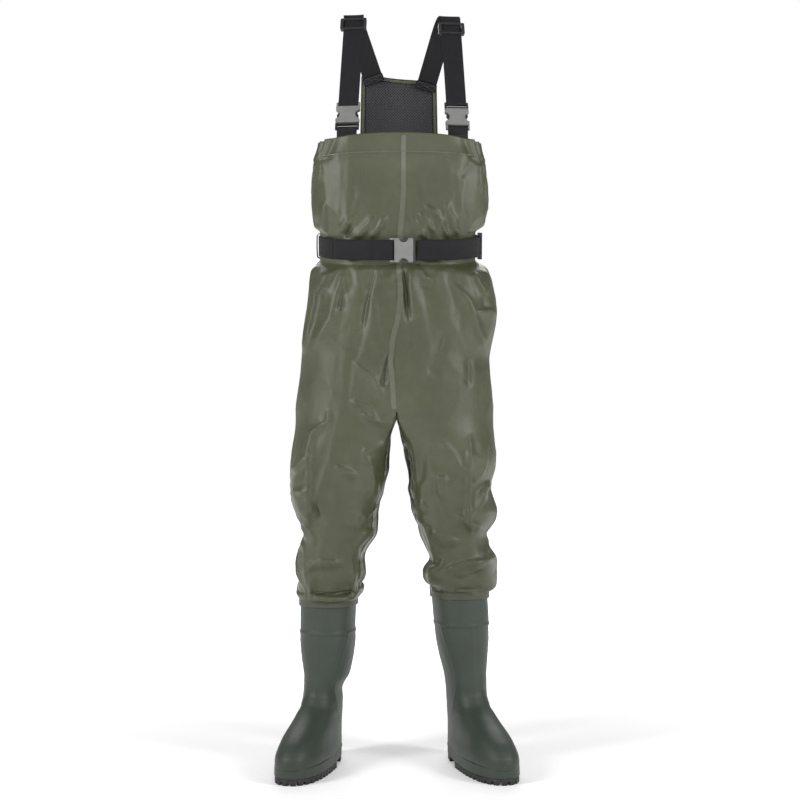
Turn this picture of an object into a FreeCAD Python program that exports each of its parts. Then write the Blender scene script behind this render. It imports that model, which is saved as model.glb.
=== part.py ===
import FreeCAD, Part
import math
import os

# Chest waders standing on their own boots, in millimetres. The origin is on the floor
# under the middle of the object, +Z is up, the front faces -Y and +X is the wearer's left.
# "right" and "left" are always the wearer's own sides.

V = FreeCAD.Vector
SIDES = {"right": -1, "left": 1}

# Garment: heights and walls
BODY_Y = 28.0            # middle of the torso, front to back
CROTCH_Z = 700.0
BIB_TOP_Z = 1258.0
HEM_Z = BIB_TOP_Z - 40.0
FABRIC = 4.0             # stand-in thickness of the coated fabric shells
TAPE = 1.2
TAPE_WIDTH = 12.0
FAR = 500.0              # beyond every edge of the model, for cutting boxes
LAYER_X = 400.0
LAYER_Y = 300.0
OVAL_POINTS = 16
OVAL_START = 3           # first point of every outline, kept off the seams and the sides

# Torso sections, bottom to top: height, right edge x, left edge x, half depth, squareness
TORSO_SECTIONS = [
    (CROTCH_Z, -206.0, 192.0, 120.0, 3.0),
    (790.0, -196.0, 184.0, 122.0, 2.8),
    (900.0, -184.0, 194.0, 122.0, 2.6),
    (960.0, -177.0, 184.0, 114.0, 2.5),
    (996.0, -151.0, 153.0, 93.5, 2.2),
    (1094.0, -151.0, 153.0, 93.5, 2.2),
    (1135.0, -175.0, 179.0, 104.0, 2.8),
    (HEM_Z, -172.0, 175.0, 102.0, 3.1),
    (BIB_TOP_Z, -166.0, 168.0, 100.0, 3.2),
]

# Leg sections, top to bottom: height, outer edge x, inner edge x, front y, back y.
# Below the last one each leg closes on its boot's shaft at CUFF_Z.
LEG_SECTIONS = {
    "right": [
        (CROTCH_Z, -205.0, -3.0, -88.0, 146.0),
        (640.0, -214.0, -22.0, -84.0, 142.0),
        (550.0, -217.0, -45.0, -80.0, 134.0),
        (485.0, -190.0, -53.0, -66.0, 126.0),
        (420.0, -199.0, -77.0, -44.0, 122.0),
    ],
    "left": [
        (CROTCH_Z, 190.0, 3.0, -88.0, 146.0),
        (640.0, 194.0, 11.0, -84.0, 142.0),
        (550.0, 180.0, 26.0, -80.0, 134.0),
        (500.0, 190.0, 29.0, -70.0, 128.0),
        (415.0, 186.0, 62.0, -44.0, 124.0),
    ],
}
LEG_SQUARENESS = 2.2
CUFF_Z = 334.0
CUFF_GAP = 2.0

# Boots: where the ankle stands, how far the toes turn out, how the shaft leans inwards
BOOT_ANKLE = {"right": (-156.0, 52.0), "left": (140.0, 54.0)}
BOOT_SPLAY = {"right": 15.0, "left": 18.0}
BOOT_LEAN = {"right": 14.0, "left": 17.0}
BOOT_TOP_Z = 345.0
BOOT_WALL = 4.0
BOOT_ANKLE_Z = 100.0
SOLE_TOP_Z = 30.0
TREAD_DEPTH = 12.0
WELT = 3.0
INSOLE = 5.0
LINING = 1.5
WELD_BAND = 5.0
WELD_BAND_HEIGHT = 18.0
SEAM_END = 10.0          # how far the inseam tape stops above the cuff
SEAM_START = 40.0        # how far it starts below the crotch
TOE_FLARE = 0.16
BOOT_SQUARENESS = 2.3
# Boot sections: height, heel behind the ankle, toe ahead of the ankle, half width
BOOT_SECTIONS = [
    (SOLE_TOP_Z, 71.0, 213.0, 43.0),
    (50.0, 73.0, 215.0, 44.0),
    (72.0, 71.0, 195.0, 42.0),
    (95.0, 66.0, 130.0, 39.0),
    (122.0, 62.0, 66.0, 37.0),
    (160.0, 60.0, 52.0, 37.0),
    (215.0, 64.0, 56.0, 46.0),
    (270.0, 66.0, 60.0, 51.0),
    (BOOT_TOP_Z, 63.0, 62.0, 54.0),
]
TREAD_BARS = {"heel": (-70.0, -6.0, 13.0, 4.0), "forefoot": (52.0, 200.0, 10.0, 8.0)}

# Webbing and its hardware
WEB = 40.0
WEB_T = 1.8
BUCKLE_W = 47.0
BUCKLE_T = 9.0
FEMALE_LENGTH = 37.0
FEMALE_HORN = 9.0
MALE_T = 8.0
BAR_HALF = 1.6           # half thickness of every bar that webbing turns round
BAR_GAP = 0.3
FEMALE_BAR_Z = 43.2      # bar middle, from the line where the two halves meet
MALE_BAR_Z = 11.5
BAR_WIDTH = 4.0
FEMALE_CORNER = 3.0
WINDOW_RADIUS = 9.6
WINDOW_AT = (25.1, 19.0)  # across, and up from the line where the two halves meet
POCKET = (19.0, 2.9, 31.0)   # half width, half thickness, depth
POCKET_LEAD = 1.0
HORN_START = 33.0
ARM_HALF = 3.0           # half thickness of the arms that carry a webbing bar
MALE_BASE = 3.6
MALE_ARM_END = 3.0
MALE_CORNER = 1.2
TONGUE = (5.5, 28.0, 2.0)    # half width, length, corner radius
PRONG_T = 4.8
PRONG_ROOT_X = 12.0
PRONG_PROFILE = [        # across from the root, along the plug
    (-2.0, 0.3), (2.5, 0.3), (2.5, 12.0), (9.0, 13.5), (9.5, 18.0), (4.0, 26.0), (-2.0, 27.5),
]
SLIDER_HALF = (26.5, 13.0)
SLIDER_FRONT = 2.6
SLIDER_CORNER = 3.0
SLIDER_BAR = 4.5
SLIDER_MIDDLE = 2.5      # half width of the middle bar
LAYER_BACK = BAR_HALF + BAR_GAP
LAYER_FRONT = LAYER_BACK + WEB_T

# Shoulder straps: the meeting line of each buckle, its lean and turn, slider and top
STRAP_ORIGIN = {"right": V(-102.0, -45.0, 1279.0), "left": V(114.0, -28.0, 1310.0)}
STRAP_LEAN = 20.0
STRAP_YAW = 8.0
SLIDER_AT = {"right": 225.0, "left": 183.0}
STRAP_TOP = {"right": 241.0, "left": 206.0}
ARCH_STEPS = 8
FEMALE_ON_STRAP = {"right": True, "left": False}
ARCH_REAR = {"right": V(-84.0, 84.0, 1484.0), "left": V(86.0, 84.0, 1482.0)}
ARCH_CREST = {"right": V(-97.0, 60.0, 1526.0), "left": V(99.0, 60.0, 1524.0)}
YOKE_CORNER = {"right": V(-55.0, 101.0, 1402.0), "left": V(58.0, 101.0, 1388.0)}
ANCHOR_LENGTH = 14.0
ANCHOR_T = 3.0
TAB_TAIL = 38.0
TAB_JOIN = (2.0, 6.0)    # below the bar: where the two layers meet inside, and outside
ARCH_LEAD = 3.0          # straight start and end of the webbing over the shoulder

# Back yoke
YOKE_BOTTOM_Z = 1222.0
YOKE_TOP_Z = {"right": 1410.0, "left": 1394.0}
YOKE_HALF_TOP = 76.0
YOKE_HALF_BOTTOM = 80.0
YOKE_PANEL = 2.5
YOKE_MESH = 2.0
YOKE_FORWARD = 6.0       # how far the top of the yoke leans to the front
BINDING = 9.0
HEM_T = 2.0
ELASTIC_T = 2.0
ELASTIC_X = (140.0, 200.0)   # the elastic runs where the bib is this far from the middle
ELASTIC_MARGIN = 5.0

# Belt: a loop with straight front and back runs and half-round ends, tipped forward
BELT_FRAME = FreeCAD.Placement(V(1.0, BODY_Y, 1045.0), FreeCAD.Rotation(V(1, 0, 0), 10.0))
BELT_RADIUS = 110.0
BELT_STRAIGHT = 53.0
BELT_MEETING_X = 27.0
BELT_SLACK_X = (-130.0, -53.0)
LOOP_T = 1.5
LOOP_WIDTH = 20.0
LOOP_GAP = 2.2
LOOP_DEPTH = 9.0


def save(name, shape):
    shape.exportStep(os.path.join("parts", name + ".step"))


def box(x0, x1, y0, y1, z0, z1):
    return Part.makeBox(x1 - x0, y1 - y0, z1 - z0, V(x0, y0, z0))


def layer(z0, z1):
    """Everything between two heights."""
    return box(-LAYER_X, LAYER_X, -LAYER_Y, LAYER_Y, z0, z1)


def moved(shape, placement):
    copy = shape.copy()
    copy.Placement = placement.multiply(copy.Placement)
    return copy


def closed_curve(points):
    curve = Part.BSplineCurve()
    curve.interpolate(Points=points, PeriodicFlag=True)
    return Part.Wire([curve.toShape()])


def oval(x0, x1, y0, y1, z, squareness, grow=0.0):
    """Level superellipse between the given edges, grown outwards by grow."""
    half_x = (x1 - x0) / 2 + grow
    half_y = (y1 - y0) / 2 + grow
    points = []
    for i in range(OVAL_START, OVAL_START + OVAL_POINTS):
        angle = 2 * math.pi * i / OVAL_POINTS
        c = math.cos(angle)
        s = math.sin(angle)
        x = math.copysign(abs(c) ** (2 / squareness), c) * half_x
        y = math.copysign(abs(s) ** (2 / squareness), s) * half_y
        points.append(V((x0 + x1) / 2 + x, (y0 + y1) / 2 + y, z))
    return closed_curve(points)


def loft(wires):
    """Solid through level outlines, straight between one outline and the next."""
    return Part.makeLoft(wires, True, True)


# ---- garment -------------------------------------------------------------------------

def torso_solid(grow, rise=0.0):
    """Torso outline grown by grow, its lowest section lifted and its top one raised by rise."""
    wires = []
    last = len(TORSO_SECTIONS) - 1
    for index, (z, right, left, depth, squareness) in enumerate(TORSO_SECTIONS):
        shift = {0: rise, last: max(rise, 0.0)}.get(index, 0.0)
        wires.append(oval(right, left, BODY_Y - depth, BODY_Y + depth, z + shift, squareness, grow))
    return loft(wires)


def leg_solid(side, grow, extend=0.0):
    """Leg grown by grow, carried past its two ends by extend."""
    wires = []
    for index, (z, outer, inner, front, back) in enumerate(LEG_SECTIONS[side]):
        edges = sorted((outer, inner))
        level = z + extend if index == 0 else z
        wires.append(oval(edges[0], edges[1], front, back, level, LEG_SQUARENESS, grow))
    cuff_grow = FABRIC + CUFF_GAP + grow
    wires.append(boot_outline(side, BOOT_SECTIONS[-1], cuff_grow, CUFF_Z - extend))
    return loft(wires)


def side_half(side, z0=0.0, z1=2000.0):
    if side == "right":
        return box(-400, 0, -300, 300, z0, z1)
    return box(0, 400, -300, 300, z0, z1)


def build_torso():
    outer = torso_solid(0.0)
    hollow = torso_solid(-FABRIC, FABRIC)
    shell = outer.cut(hollow)
    for side in SIDES:
        shell = shell.cut(leg_solid(side, -FABRIC, 2 * FABRIC))
    for side in SIDES:
        save(side + "_torso_shell", shell.common(side_half(side)))
    skin = torso_solid(TAPE).cut(outer)
    half = TAPE_WIDTH / 2
    save("front_seam_tape", skin.common(box(-half, half, -300, 0, CROTCH_Z + FABRIC, HEM_Z)))
    save("back_seam_tape", skin.common(box(-half, half, BODY_Y, 300, CROTCH_Z + FABRIC, HEM_Z)))


def bib_edge_solid(grow):
    wires = []
    for z, right, left, depth, squareness in TORSO_SECTIONS[-2:]:
        wires.append(oval(right, left, BODY_Y - depth, BODY_Y + depth, z, squareness, grow))
    return loft(wires)


def build_bib_edge():
    save("bib_hem", bib_edge_solid(-FABRIC).cut(bib_edge_solid(-FABRIC - HEM_T)))
    seat = FABRIC + HEM_T + BAR_GAP
    elastic = bib_edge_solid(-seat).cut(bib_edge_solid(-seat - ELASTIC_T))
    for side, sign in SIDES.items():
        edges = sorted((sign * ELASTIC_X[0], sign * ELASTIC_X[1]))
        reach = box(*edges, -FAR, FAR, HEM_Z + ELASTIC_MARGIN, BIB_TOP_Z - ELASTIC_MARGIN)
        save(side + "_side_elastic", elastic.common(reach))


def build_leg(side):
    outer = leg_solid(side, 0.0)
    save(side + "_leg_shell", outer.cut(leg_solid(side, -FABRIC, FABRIC)))
    skin = leg_solid(side, TAPE).cut(outer)
    rows = LEG_SECTIONS[side]
    middle_x = (rows[2][1] + rows[2][2]) / 2
    middle_y = (rows[2][3] + rows[2][4]) / 2
    inner_side = sorted((middle_x, -middle_x))
    tape = sorted((middle_y - TAPE_WIDTH / 2, middle_y + TAPE_WIDTH / 2))
    reach = box(*inner_side, *tape, CUFF_Z + SEAM_END, CROTCH_Z - SEAM_START)
    save(side + "_inseam_tape", skin.common(reach))


# ---- boots ---------------------------------------------------------------------------

def boot_outline(side, row, grow=0.0, z=None):
    """One level outline of the boot, wider at the toe than at the heel."""
    height, heel, toe, half_width = row
    if z is not None:
        height = z
    middle = (toe - heel) / 2
    half_length = (toe + heel) / 2 + grow
    flare = TOE_FLARE * min(1.0, max(0.0, (toe - heel) / heel))
    turn = math.radians(BOOT_SPLAY[side])
    sign = SIDES[side]
    above = max(0.0, height - BOOT_ANKLE_Z) / (BOOT_TOP_Z - BOOT_ANKLE_Z)
    ankle_x = BOOT_ANKLE[side][0] - sign * BOOT_LEAN[side] * above
    points = []
    first = OVAL_START + OVAL_POINTS // 4
    for i in range(first, first + OVAL_POINTS):
        angle = 2 * math.pi * i / OVAL_POINTS
        c = math.cos(angle)
        s = math.sin(angle)
        ahead = middle + math.copysign(abs(c) ** (2 / BOOT_SQUARENESS), c) * half_length
        across = math.copysign(abs(s) ** (2 / BOOT_SQUARENESS), s) * (half_width + grow)
        across *= 1 + flare * c
        x = ankle_x + sign * (ahead * math.sin(turn)) + across * math.cos(turn)
        y = BOOT_ANKLE[side][1] - ahead * math.cos(turn) + sign * across * math.sin(turn)
        points.append(V(x, y, height))
    return closed_curve(points)


def boot_solid(side, grow, floor=None, rise=0.0):
    """Boot grown by grow, starting at height floor and carried up by rise past its top."""
    rows = BOOT_SECTIONS
    first = rows[0][0] if floor is None else floor
    wires = [boot_outline(side, rows[0], grow, first)]
    wires += [boot_outline(side, row, grow) for row in rows[1:-1]]
    wires.append(boot_outline(side, rows[-1], grow, rows[-1][0] + rise))
    return loft(wires)


def sole_prism(side, grow, z0, z1):
    face = Part.Face(boot_outline(side, BOOT_SECTIONS[0], grow, z0))
    return face.extrude(V(0, 0, z1 - z0))


def boot_frame(side):
    """Placement whose -Y runs along the foot towards the toe, from the ankle's foot."""
    turn = BOOT_SPLAY[side] * SIDES[side]
    ankle = BOOT_ANKLE[side]
    return FreeCAD.Placement(V(ankle[0], ankle[1], 0), FreeCAD.Rotation(V(0, 0, 1), turn))


def build_outsole(side):
    sole = sole_prism(side, WELT, TREAD_DEPTH, SOLE_TOP_Z)
    tread = sole_prism(side, WELT - 1.0, 0.0, TREAD_DEPTH)
    for start, stop, width, gap in TREAD_BARS.values():
        ahead = start
        while ahead + width <= stop + 0.1:
            bar = moved(box(-FAR, FAR, -ahead - width, -ahead, 0, TREAD_DEPTH), boot_frame(side))
            sole = sole.fuse(tread.common(bar))
            ahead += width + gap
    save(side + "_boot_outsole", sole.removeSplitter())


def build_boot(side):
    inside = SOLE_TOP_Z + BOOT_WALL
    hollow = boot_solid(side, -BOOT_WALL, inside, BOOT_WALL)
    outer = boot_solid(side, 0.0)
    save(side + "_boot_upper", outer.cut(hollow))
    build_outsole(side)
    insole_top = inside + INSOLE
    save(side + "_boot_insole", hollow.common(layer(inside, insole_top)))
    lining_inside = boot_solid(side, -BOOT_WALL - LINING, inside, 2 * BOOT_WALL)
    lining = hollow.cut(lining_inside)
    save(side + "_boot_lining", lining.common(layer(insole_top, BOOT_TOP_Z)))
    ring = boot_solid(side, WELD_BAND).cut(outer)
    save(side + "_boot_weld_band", ring.common(layer(CUFF_Z - WELD_BAND_HEIGHT, CUFF_Z)))


# ---- yoke ----------------------------------------------------------------------------

def yoke_wall(near, far):
    """Curved wall above the back of the bib, between two depths inside the torso outline."""
    z, right, left, depth, squareness = TORSO_SECTIONS[-1]
    solids = []
    for inset in (near, far):
        bottom = oval(right, left, BODY_Y - depth, BODY_Y + depth, YOKE_BOTTOM_Z, squareness, -inset)
        front = BODY_Y - depth - YOKE_FORWARD
        back = BODY_Y + depth - YOKE_FORWARD
        top = oval(right, left, front, back, max(YOKE_TOP_Z.values()), squareness, -inset)
        solids.append(loft([bottom, top]))
    return solids[0].cut(solids[1])


def yoke_outline(inset):
    """Prism of the yoke's four-sided face, inset from its edges."""
    corners = [
        V(-YOKE_HALF_BOTTOM + inset, 0, YOKE_BOTTOM_Z),
        V(-YOKE_HALF_TOP + inset, 0, YOKE_TOP_Z["right"] - inset),
        V(YOKE_HALF_TOP - inset, 0, YOKE_TOP_Z["left"] - inset),
        V(YOKE_HALF_BOTTOM - inset, 0, YOKE_BOTTOM_Z),
    ]
    face = Part.Face(Part.makePolygon(corners + corners[:1]))
    return face.extrude(V(0, FAR, 0))


def build_yoke():
    seat = FABRIC + HEM_T + 1.0
    inner = yoke_outline(BINDING)
    panel = yoke_wall(seat, seat + YOKE_PANEL).common(inner)
    save("back_yoke_panel", panel)
    mesh_back = seat + YOKE_PANEL
    save("back_yoke_mesh", yoke_wall(mesh_back, mesh_back + YOKE_MESH).common(inner))
    edge = yoke_wall(seat - 0.5, mesh_back + YOKE_MESH + 0.5)
    save("yoke_binding", edge.common(yoke_outline(0.0)).cut(inner))


# ---- webbing and hardware, in a frame with X across, -Y to the front and Z along ------

def strip(centres, across, thickness=WEB_T, width=WEB):
    """Flat webbing through the centres; across gives the width direction at each one."""
    wires = []
    last = len(centres) - 1
    for i, centre in enumerate(centres):
        along = centres[min(i + 1, last)] - centres[max(i - 1, 0)]
        side = across[i] - along * (across[i].dot(along) / along.dot(along))
        side.normalize()
        normal = side.cross(along)
        normal.normalize()
        half = side * (width / 2)
        deep = normal * (thickness / 2)
        corners = [centre + half + deep, centre - half + deep]
        corners += [centre - half - deep, centre + half - deep]
        wires.append(Part.makePolygon(corners + corners[:1]))
    return Part.makeLoft(wires, True, True)


def rounded(shape, radius):
    """Round the edges that run along the thickness of a plate-like block."""
    edges = [e for e in shape.Edges if abs(e.tangentAt(e.FirstParameter).y) > 0.99]
    return shape.makeFillet(radius, edges)


def bar_arm(sign, z0, z1):
    """Side arm of a buckle half, outside the webbing."""
    edges = sorted((sign * (WEB / 2 + BAR_GAP), sign * BUCKLE_W / 2))
    return box(*edges, -ARM_HALF, ARM_HALF, z0, z1)


def webbing_bar(middle_z):
    half = BUCKLE_W / 2 - BAR_GAP
    deep = BAR_WIDTH / 2
    return box(-half, half, -BAR_HALF, BAR_HALF, middle_z - deep, middle_z + deep)


def female_half():
    """Socket half: pocket opening at z 0, side windows for the prongs, bar at its far end."""
    half = BUCKLE_W / 2
    deep = BUCKLE_T / 2
    body = rounded(box(-half, half, -deep, deep, BAR_GAP, FEMALE_LENGTH), FEMALE_CORNER)
    for sign in (-1, 1):
        centre = V(sign * WINDOW_AT[0], -BUCKLE_T, WINDOW_AT[1])
        body = body.cut(Part.makeCylinder(WINDOW_RADIUS, 2 * BUCKLE_T, centre, V(0, 1, 0)))
        horn = bar_arm(sign, HORN_START, FEMALE_LENGTH + FEMALE_HORN)
        body = body.fuse(horn)
    half_width, half_deep, depth = POCKET
    pocket = box(-half_width, half_width, -half_deep, half_deep, -POCKET_LEAD, depth)
    return body.fuse(webbing_bar(FEMALE_BAR_Z)).cut(pocket)


def male_half():
    """Plug half: base with a webbing slot and bar below z 0, guide tongue above it."""
    half = BUCKLE_W / 2
    deep = MALE_T / 2
    shape = rounded(box(-half, half, -deep, deep, -MALE_BASE, 0.0), MALE_CORNER)
    half_width, length, corner = TONGUE
    tongue = box(-half_width, half_width, -PRONG_T / 2, PRONG_T / 2, -POCKET_LEAD, length)
    shape = shape.fuse(rounded(tongue, corner))
    for sign in (-1, 1):
        shape = shape.fuse(bar_arm(sign, -MALE_BAR_Z - BAR_WIDTH / 2, -MALE_ARM_END))
    return shape.fuse(webbing_bar(-MALE_BAR_Z))


def prong(sign):
    """Springy side arm of the plug with the catch that fills the socket's window."""
    outline = [V(sign * (PRONG_ROOT_X + x), 0, z) for x, z in PRONG_PROFILE]
    face = Part.Face(Part.makePolygon(outline + outline[:1]))
    return face.extrude(V(0, PRONG_T, 0)).translated(V(0, -PRONG_T / 2, 0))


def slider():
    """Three-bar slide: outer bars before the webbing, middle bar behind it."""
    half_x, half_z = SLIDER_HALF
    front = -LAYER_FRONT - BAR_GAP
    frame = rounded(box(-half_x, half_x, front - SLIDER_FRONT, BAR_HALF, -half_z, half_z), SLIDER_CORNER)
    inner = WEB / 2 + BAR_GAP
    open_z = half_z - SLIDER_BAR
    opening = box(-inner, inner, front - 2 * SLIDER_FRONT, 2 * BAR_HALF, -open_z, open_z)
    channel = box(-inner, inner, front, 2 * BAR_HALF, -2 * half_z, 2 * half_z)
    frame = frame.cut(opening).cut(channel)
    middle = SLIDER_MIDDLE
    return frame.fuse(box(-inner - 1, inner + 1, -BAR_HALF, BAR_HALF, -middle, middle))


def turn_round_bar(bar_z, sign):
    """Short fold of webbing round a bar: sign is +1 when the webbing leaves upwards."""
    far = bar_z - sign * (BAR_WIDTH / 2 + BAR_GAP)
    ends = sorted((far, far - sign * WEB_T))
    half = WEB / 2
    fold = box(-half, half, -LAYER_FRONT, LAYER_FRONT, ends[0], ends[1])
    sides = sorted((far, bar_z))
    fold = fold.fuse(box(-half, half, LAYER_BACK, LAYER_FRONT, sides[0], sides[1]))
    return fold.fuse(box(-half, half, -LAYER_FRONT, -LAYER_BACK, sides[0], sides[1]))


def strap_frame(side):
    sign = SIDES[side]
    lean = FreeCAD.Rotation(V(1, 0, 0), -STRAP_LEAN)
    yaw = FreeCAD.Rotation(V(0, 0, 1), sign * STRAP_YAW)
    return FreeCAD.Placement(STRAP_ORIGIN[side], yaw.multiply(lean))


def flipped():
    return FreeCAD.Placement(V(0, 0, 0), FreeCAD.Rotation(V(0, 1, 0), 180))


def build_shoulder_buckle(side):
    frame = strap_frame(side)
    turned = frame if FEMALE_ON_STRAP[side] else frame.multiply(flipped())
    save(side + "_buckle_female", moved(female_half(), turned))
    save(side + "_buckle_male", moved(male_half(), turned))
    for name, sign in (("outer", SIDES[side]), ("inner", -SIDES[side])):
        local = sign if FEMALE_ON_STRAP[side] else -sign
        save(side + "_buckle_prong_" + name, moved(prong(local), turned))


def strap_bar_z(side):
    return FEMALE_BAR_Z if FEMALE_ON_STRAP[side] else MALE_BAR_Z


def tab_bar_z(side):
    return -MALE_BAR_Z if FEMALE_ON_STRAP[side] else -FEMALE_BAR_Z


def build_strap_front(side):
    frame = strap_frame(side)
    half = WEB / 2
    bar = strap_bar_z(side)
    run = box(-half, half, -LAYER_FRONT, -LAYER_BACK, bar, STRAP_TOP[side])
    save(side + "_strap_front_run", moved(run.fuse(turn_round_bar(bar, 1)).removeSplitter(), frame))
    behind = box(-half, half, LAYER_BACK, LAYER_FRONT, bar, SLIDER_AT[side] + SLIDER_MIDDLE)
    save(side + "_strap_return_layer", moved(behind, frame))
    at = frame.multiply(FreeCAD.Placement(V(0, 0, SLIDER_AT[side]), FreeCAD.Rotation()))
    save(side + "_strap_slider", moved(slider(), at))


def build_strap_rear(side):
    frame = strap_frame(side)
    middle = -(LAYER_FRONT + LAYER_BACK) / 2
    top = frame.multVec(V(0, middle, STRAP_TOP[side] + BAR_GAP))
    rear = ARCH_REAR[side]
    crest = ARCH_CREST[side]
    corner = YOKE_CORNER[side]
    front_across = frame.Rotation.multVec(V(1, 0, 0))
    fall = corner - rear
    rear_across = V(1, 0, 0) - fall * (fall.x / fall.dot(fall))
    rear_across.normalize()
    lead_in = top + frame.Rotation.multVec(V(0, 0, ARCH_LEAD))
    lead_out = rear - fall * (ARCH_LEAD / fall.Length)
    centres = [top]
    across = [front_across]
    for i in range(ARCH_STEPS + 1):
        t = i / ARCH_STEPS
        centres.append(lead_in * (1 - t) ** 2 + crest * (2 * t * (1 - t)) + lead_out * t ** 2)
        across.append(front_across * (1 - t) + rear_across * t)
    centres.append(rear)
    across.append(rear_across)
    save(side + "_strap_shoulder_arch", strip(centres, across))
    start = rear + fall * (BAR_GAP / fall.Length)
    save(side + "_strap_back_run", strip([start, corner], [rear_across, rear_across]))
    down = fall * (1.0 / fall.Length)
    anchor_start = corner + down * BAR_GAP
    anchor_end = anchor_start + down * ANCHOR_LENGTH
    anchor = strip([anchor_start, anchor_end], [rear_across, rear_across], ANCHOR_T)
    save(side + "_strap_anchor", anchor)


def build_bib_tab(side):
    """Loop of webbing from the lower buckle bar down inside the bib's hem."""
    frame = strap_frame(side)
    bar = tab_bar_z(side)
    half = WEB / 2
    fold = turn_round_bar(bar, -1)
    below = bar - BAR_WIDTH / 2 - BAR_GAP
    profile = [
        V(-half, -LAYER_FRONT, bar),
        V(-half, -LAYER_BACK, bar),
        V(-half, -LAYER_BACK, below),
        V(-half, 0, below - TAB_JOIN[0]),
        V(-half, LAYER_BACK, below),
        V(-half, LAYER_BACK, bar),
        V(-half, LAYER_FRONT, bar),
        V(-half, LAYER_FRONT, below),
        V(-half, TAB_JOIN[0], below - TAB_JOIN[1]),
        V(-half, -TAB_JOIN[0], below - TAB_JOIN[1]),
        V(-half, -LAYER_FRONT, below),
    ]
    legs = Part.Face(Part.makePolygon(profile + profile[:1])).extrude(V(WEB, 0, 0))
    loop = moved(fold.fuse(legs), frame)
    start = frame.multVec(V(0, 0, below - TAB_JOIN[1] + 1.0))
    across = frame.Rotation.multVec(V(1, 0, 0))
    centres = [start, start + V(0, 0, -TAB_TAIL)]
    tail = strip(centres, [across, across], 2 * WEB_T)
    save(side + "_bib_tab", loop.fuse(tail))


# ---- belt ----------------------------------------------------------------------------

def belt_loop_solid(inset):
    radius = BELT_RADIUS - inset
    half = WEB / 2
    solid = box(-BELT_STRAIGHT, BELT_STRAIGHT, -radius, radius, -half, half)
    for sign in (-1, 1):
        end = Part.makeCylinder(radius, WEB, V(sign * BELT_STRAIGHT, 0, -half))
        solid = solid.fuse(end)
    return solid.removeSplitter()


def belt_layer(near, far):
    return belt_loop_solid(near).cut(belt_loop_solid(far))


def front_span(x0, x1):
    return box(x0, x1, -FAR, 0, -WEB, WEB)


def belt_buckle_frame():
    """Buckle frame on the belt: its Z runs to the wearer's right, its front to -Y."""
    turn = FreeCAD.Rotation(V(0, 1, 0), -90)
    centre = V(BELT_MEETING_X, -BELT_RADIUS + LAYER_FRONT, 0)
    return BELT_FRAME.multiply(FreeCAD.Placement(centre, turn))


def build_belt():
    buckle = belt_buckle_frame()
    web = belt_layer(0.0, WEB_T)
    male_end = BELT_MEETING_X + MALE_BAR_Z
    female_end = BELT_MEETING_X - FEMALE_BAR_Z
    main = web.cut(front_span(BELT_SLACK_X[0], male_end))
    main = moved(main, BELT_FRAME).fuse(moved(turn_round_bar(-MALE_BAR_Z, -1), buckle))
    save("belt_main", main.removeSplitter())
    save("belt_slack", moved(web.common(front_span(*BELT_SLACK_X)), BELT_FRAME))
    release = moved(web.common(front_span(BELT_SLACK_X[1], female_end)), BELT_FRAME)
    release = release.fuse(moved(turn_round_bar(FEMALE_BAR_Z, 1), buckle))
    save("belt_release_end", release.removeSplitter())
    inner = belt_layer(LAYER_FRONT + LAYER_BACK, LAYER_FRONT * 2)
    quarter = box(male_end, FAR, -FAR, SLIDER_MIDDLE, -WEB, WEB)
    save("belt_return_layer", moved(inner.common(quarter), BELT_FRAME))


def build_belt_hardware():
    buckle = belt_buckle_frame()
    save("belt_buckle_female", moved(female_half(), buckle))
    save("belt_buckle_male", moved(male_half(), buckle))
    save("belt_prong_upper", moved(prong(1), buckle))
    save("belt_prong_lower", moved(prong(-1), buckle))
    side = V(BELT_STRAIGHT + BELT_RADIUS - LAYER_FRONT, 0, 0)
    facing = FreeCAD.Rotation(V(0, 0, 1), V(-1, 0, 0), V(0, -1, 0), "XYZ")
    save("belt_slider", moved(slider(), BELT_FRAME.multiply(FreeCAD.Placement(side, facing))))


def belt_loop(angle, centre_x):
    """Keeper strip standing round the belt at an angle about the given end's centre."""
    half = LOOP_WIDTH / 2
    tall = WEB / 2 + LOOP_GAP
    near = BELT_RADIUS + LOOP_GAP
    plate = box(near, near + LOOP_T, -half, half, -tall - LOOP_T, tall + LOOP_T)
    for z in (tall, -tall - LOOP_T):
        plate = plate.fuse(box(near - LOOP_DEPTH, near, -half, half, z, z + LOOP_T))
    turn = FreeCAD.Placement(V(centre_x, 0, 0), FreeCAD.Rotation(V(0, 0, 1), angle))
    return moved(plate, BELT_FRAME.multiply(turn))


def build_belt_loops():
    loops = [belt_loop(180.0, -BELT_STRAIGHT), belt_loop(50.0, BELT_STRAIGHT), belt_loop(90.0, 0.0)]
    save("belt_loops", Part.makeCompound(loops))


def main():
    os.makedirs("parts", exist_ok=True)
    build_torso()
    build_bib_edge()
    build_yoke()
    for side in SIDES:
        build_leg(side)
        build_boot(side)
        build_shoulder_buckle(side)
        build_strap_front(side)
        build_strap_rear(side)
        build_bib_tab(side)
    build_belt()
    build_belt_hardware()
    build_belt_loops()


main()
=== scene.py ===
import bpy
import bmesh
import math
import numpy as np
from mathutils import Matrix, Vector, noise


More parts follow.
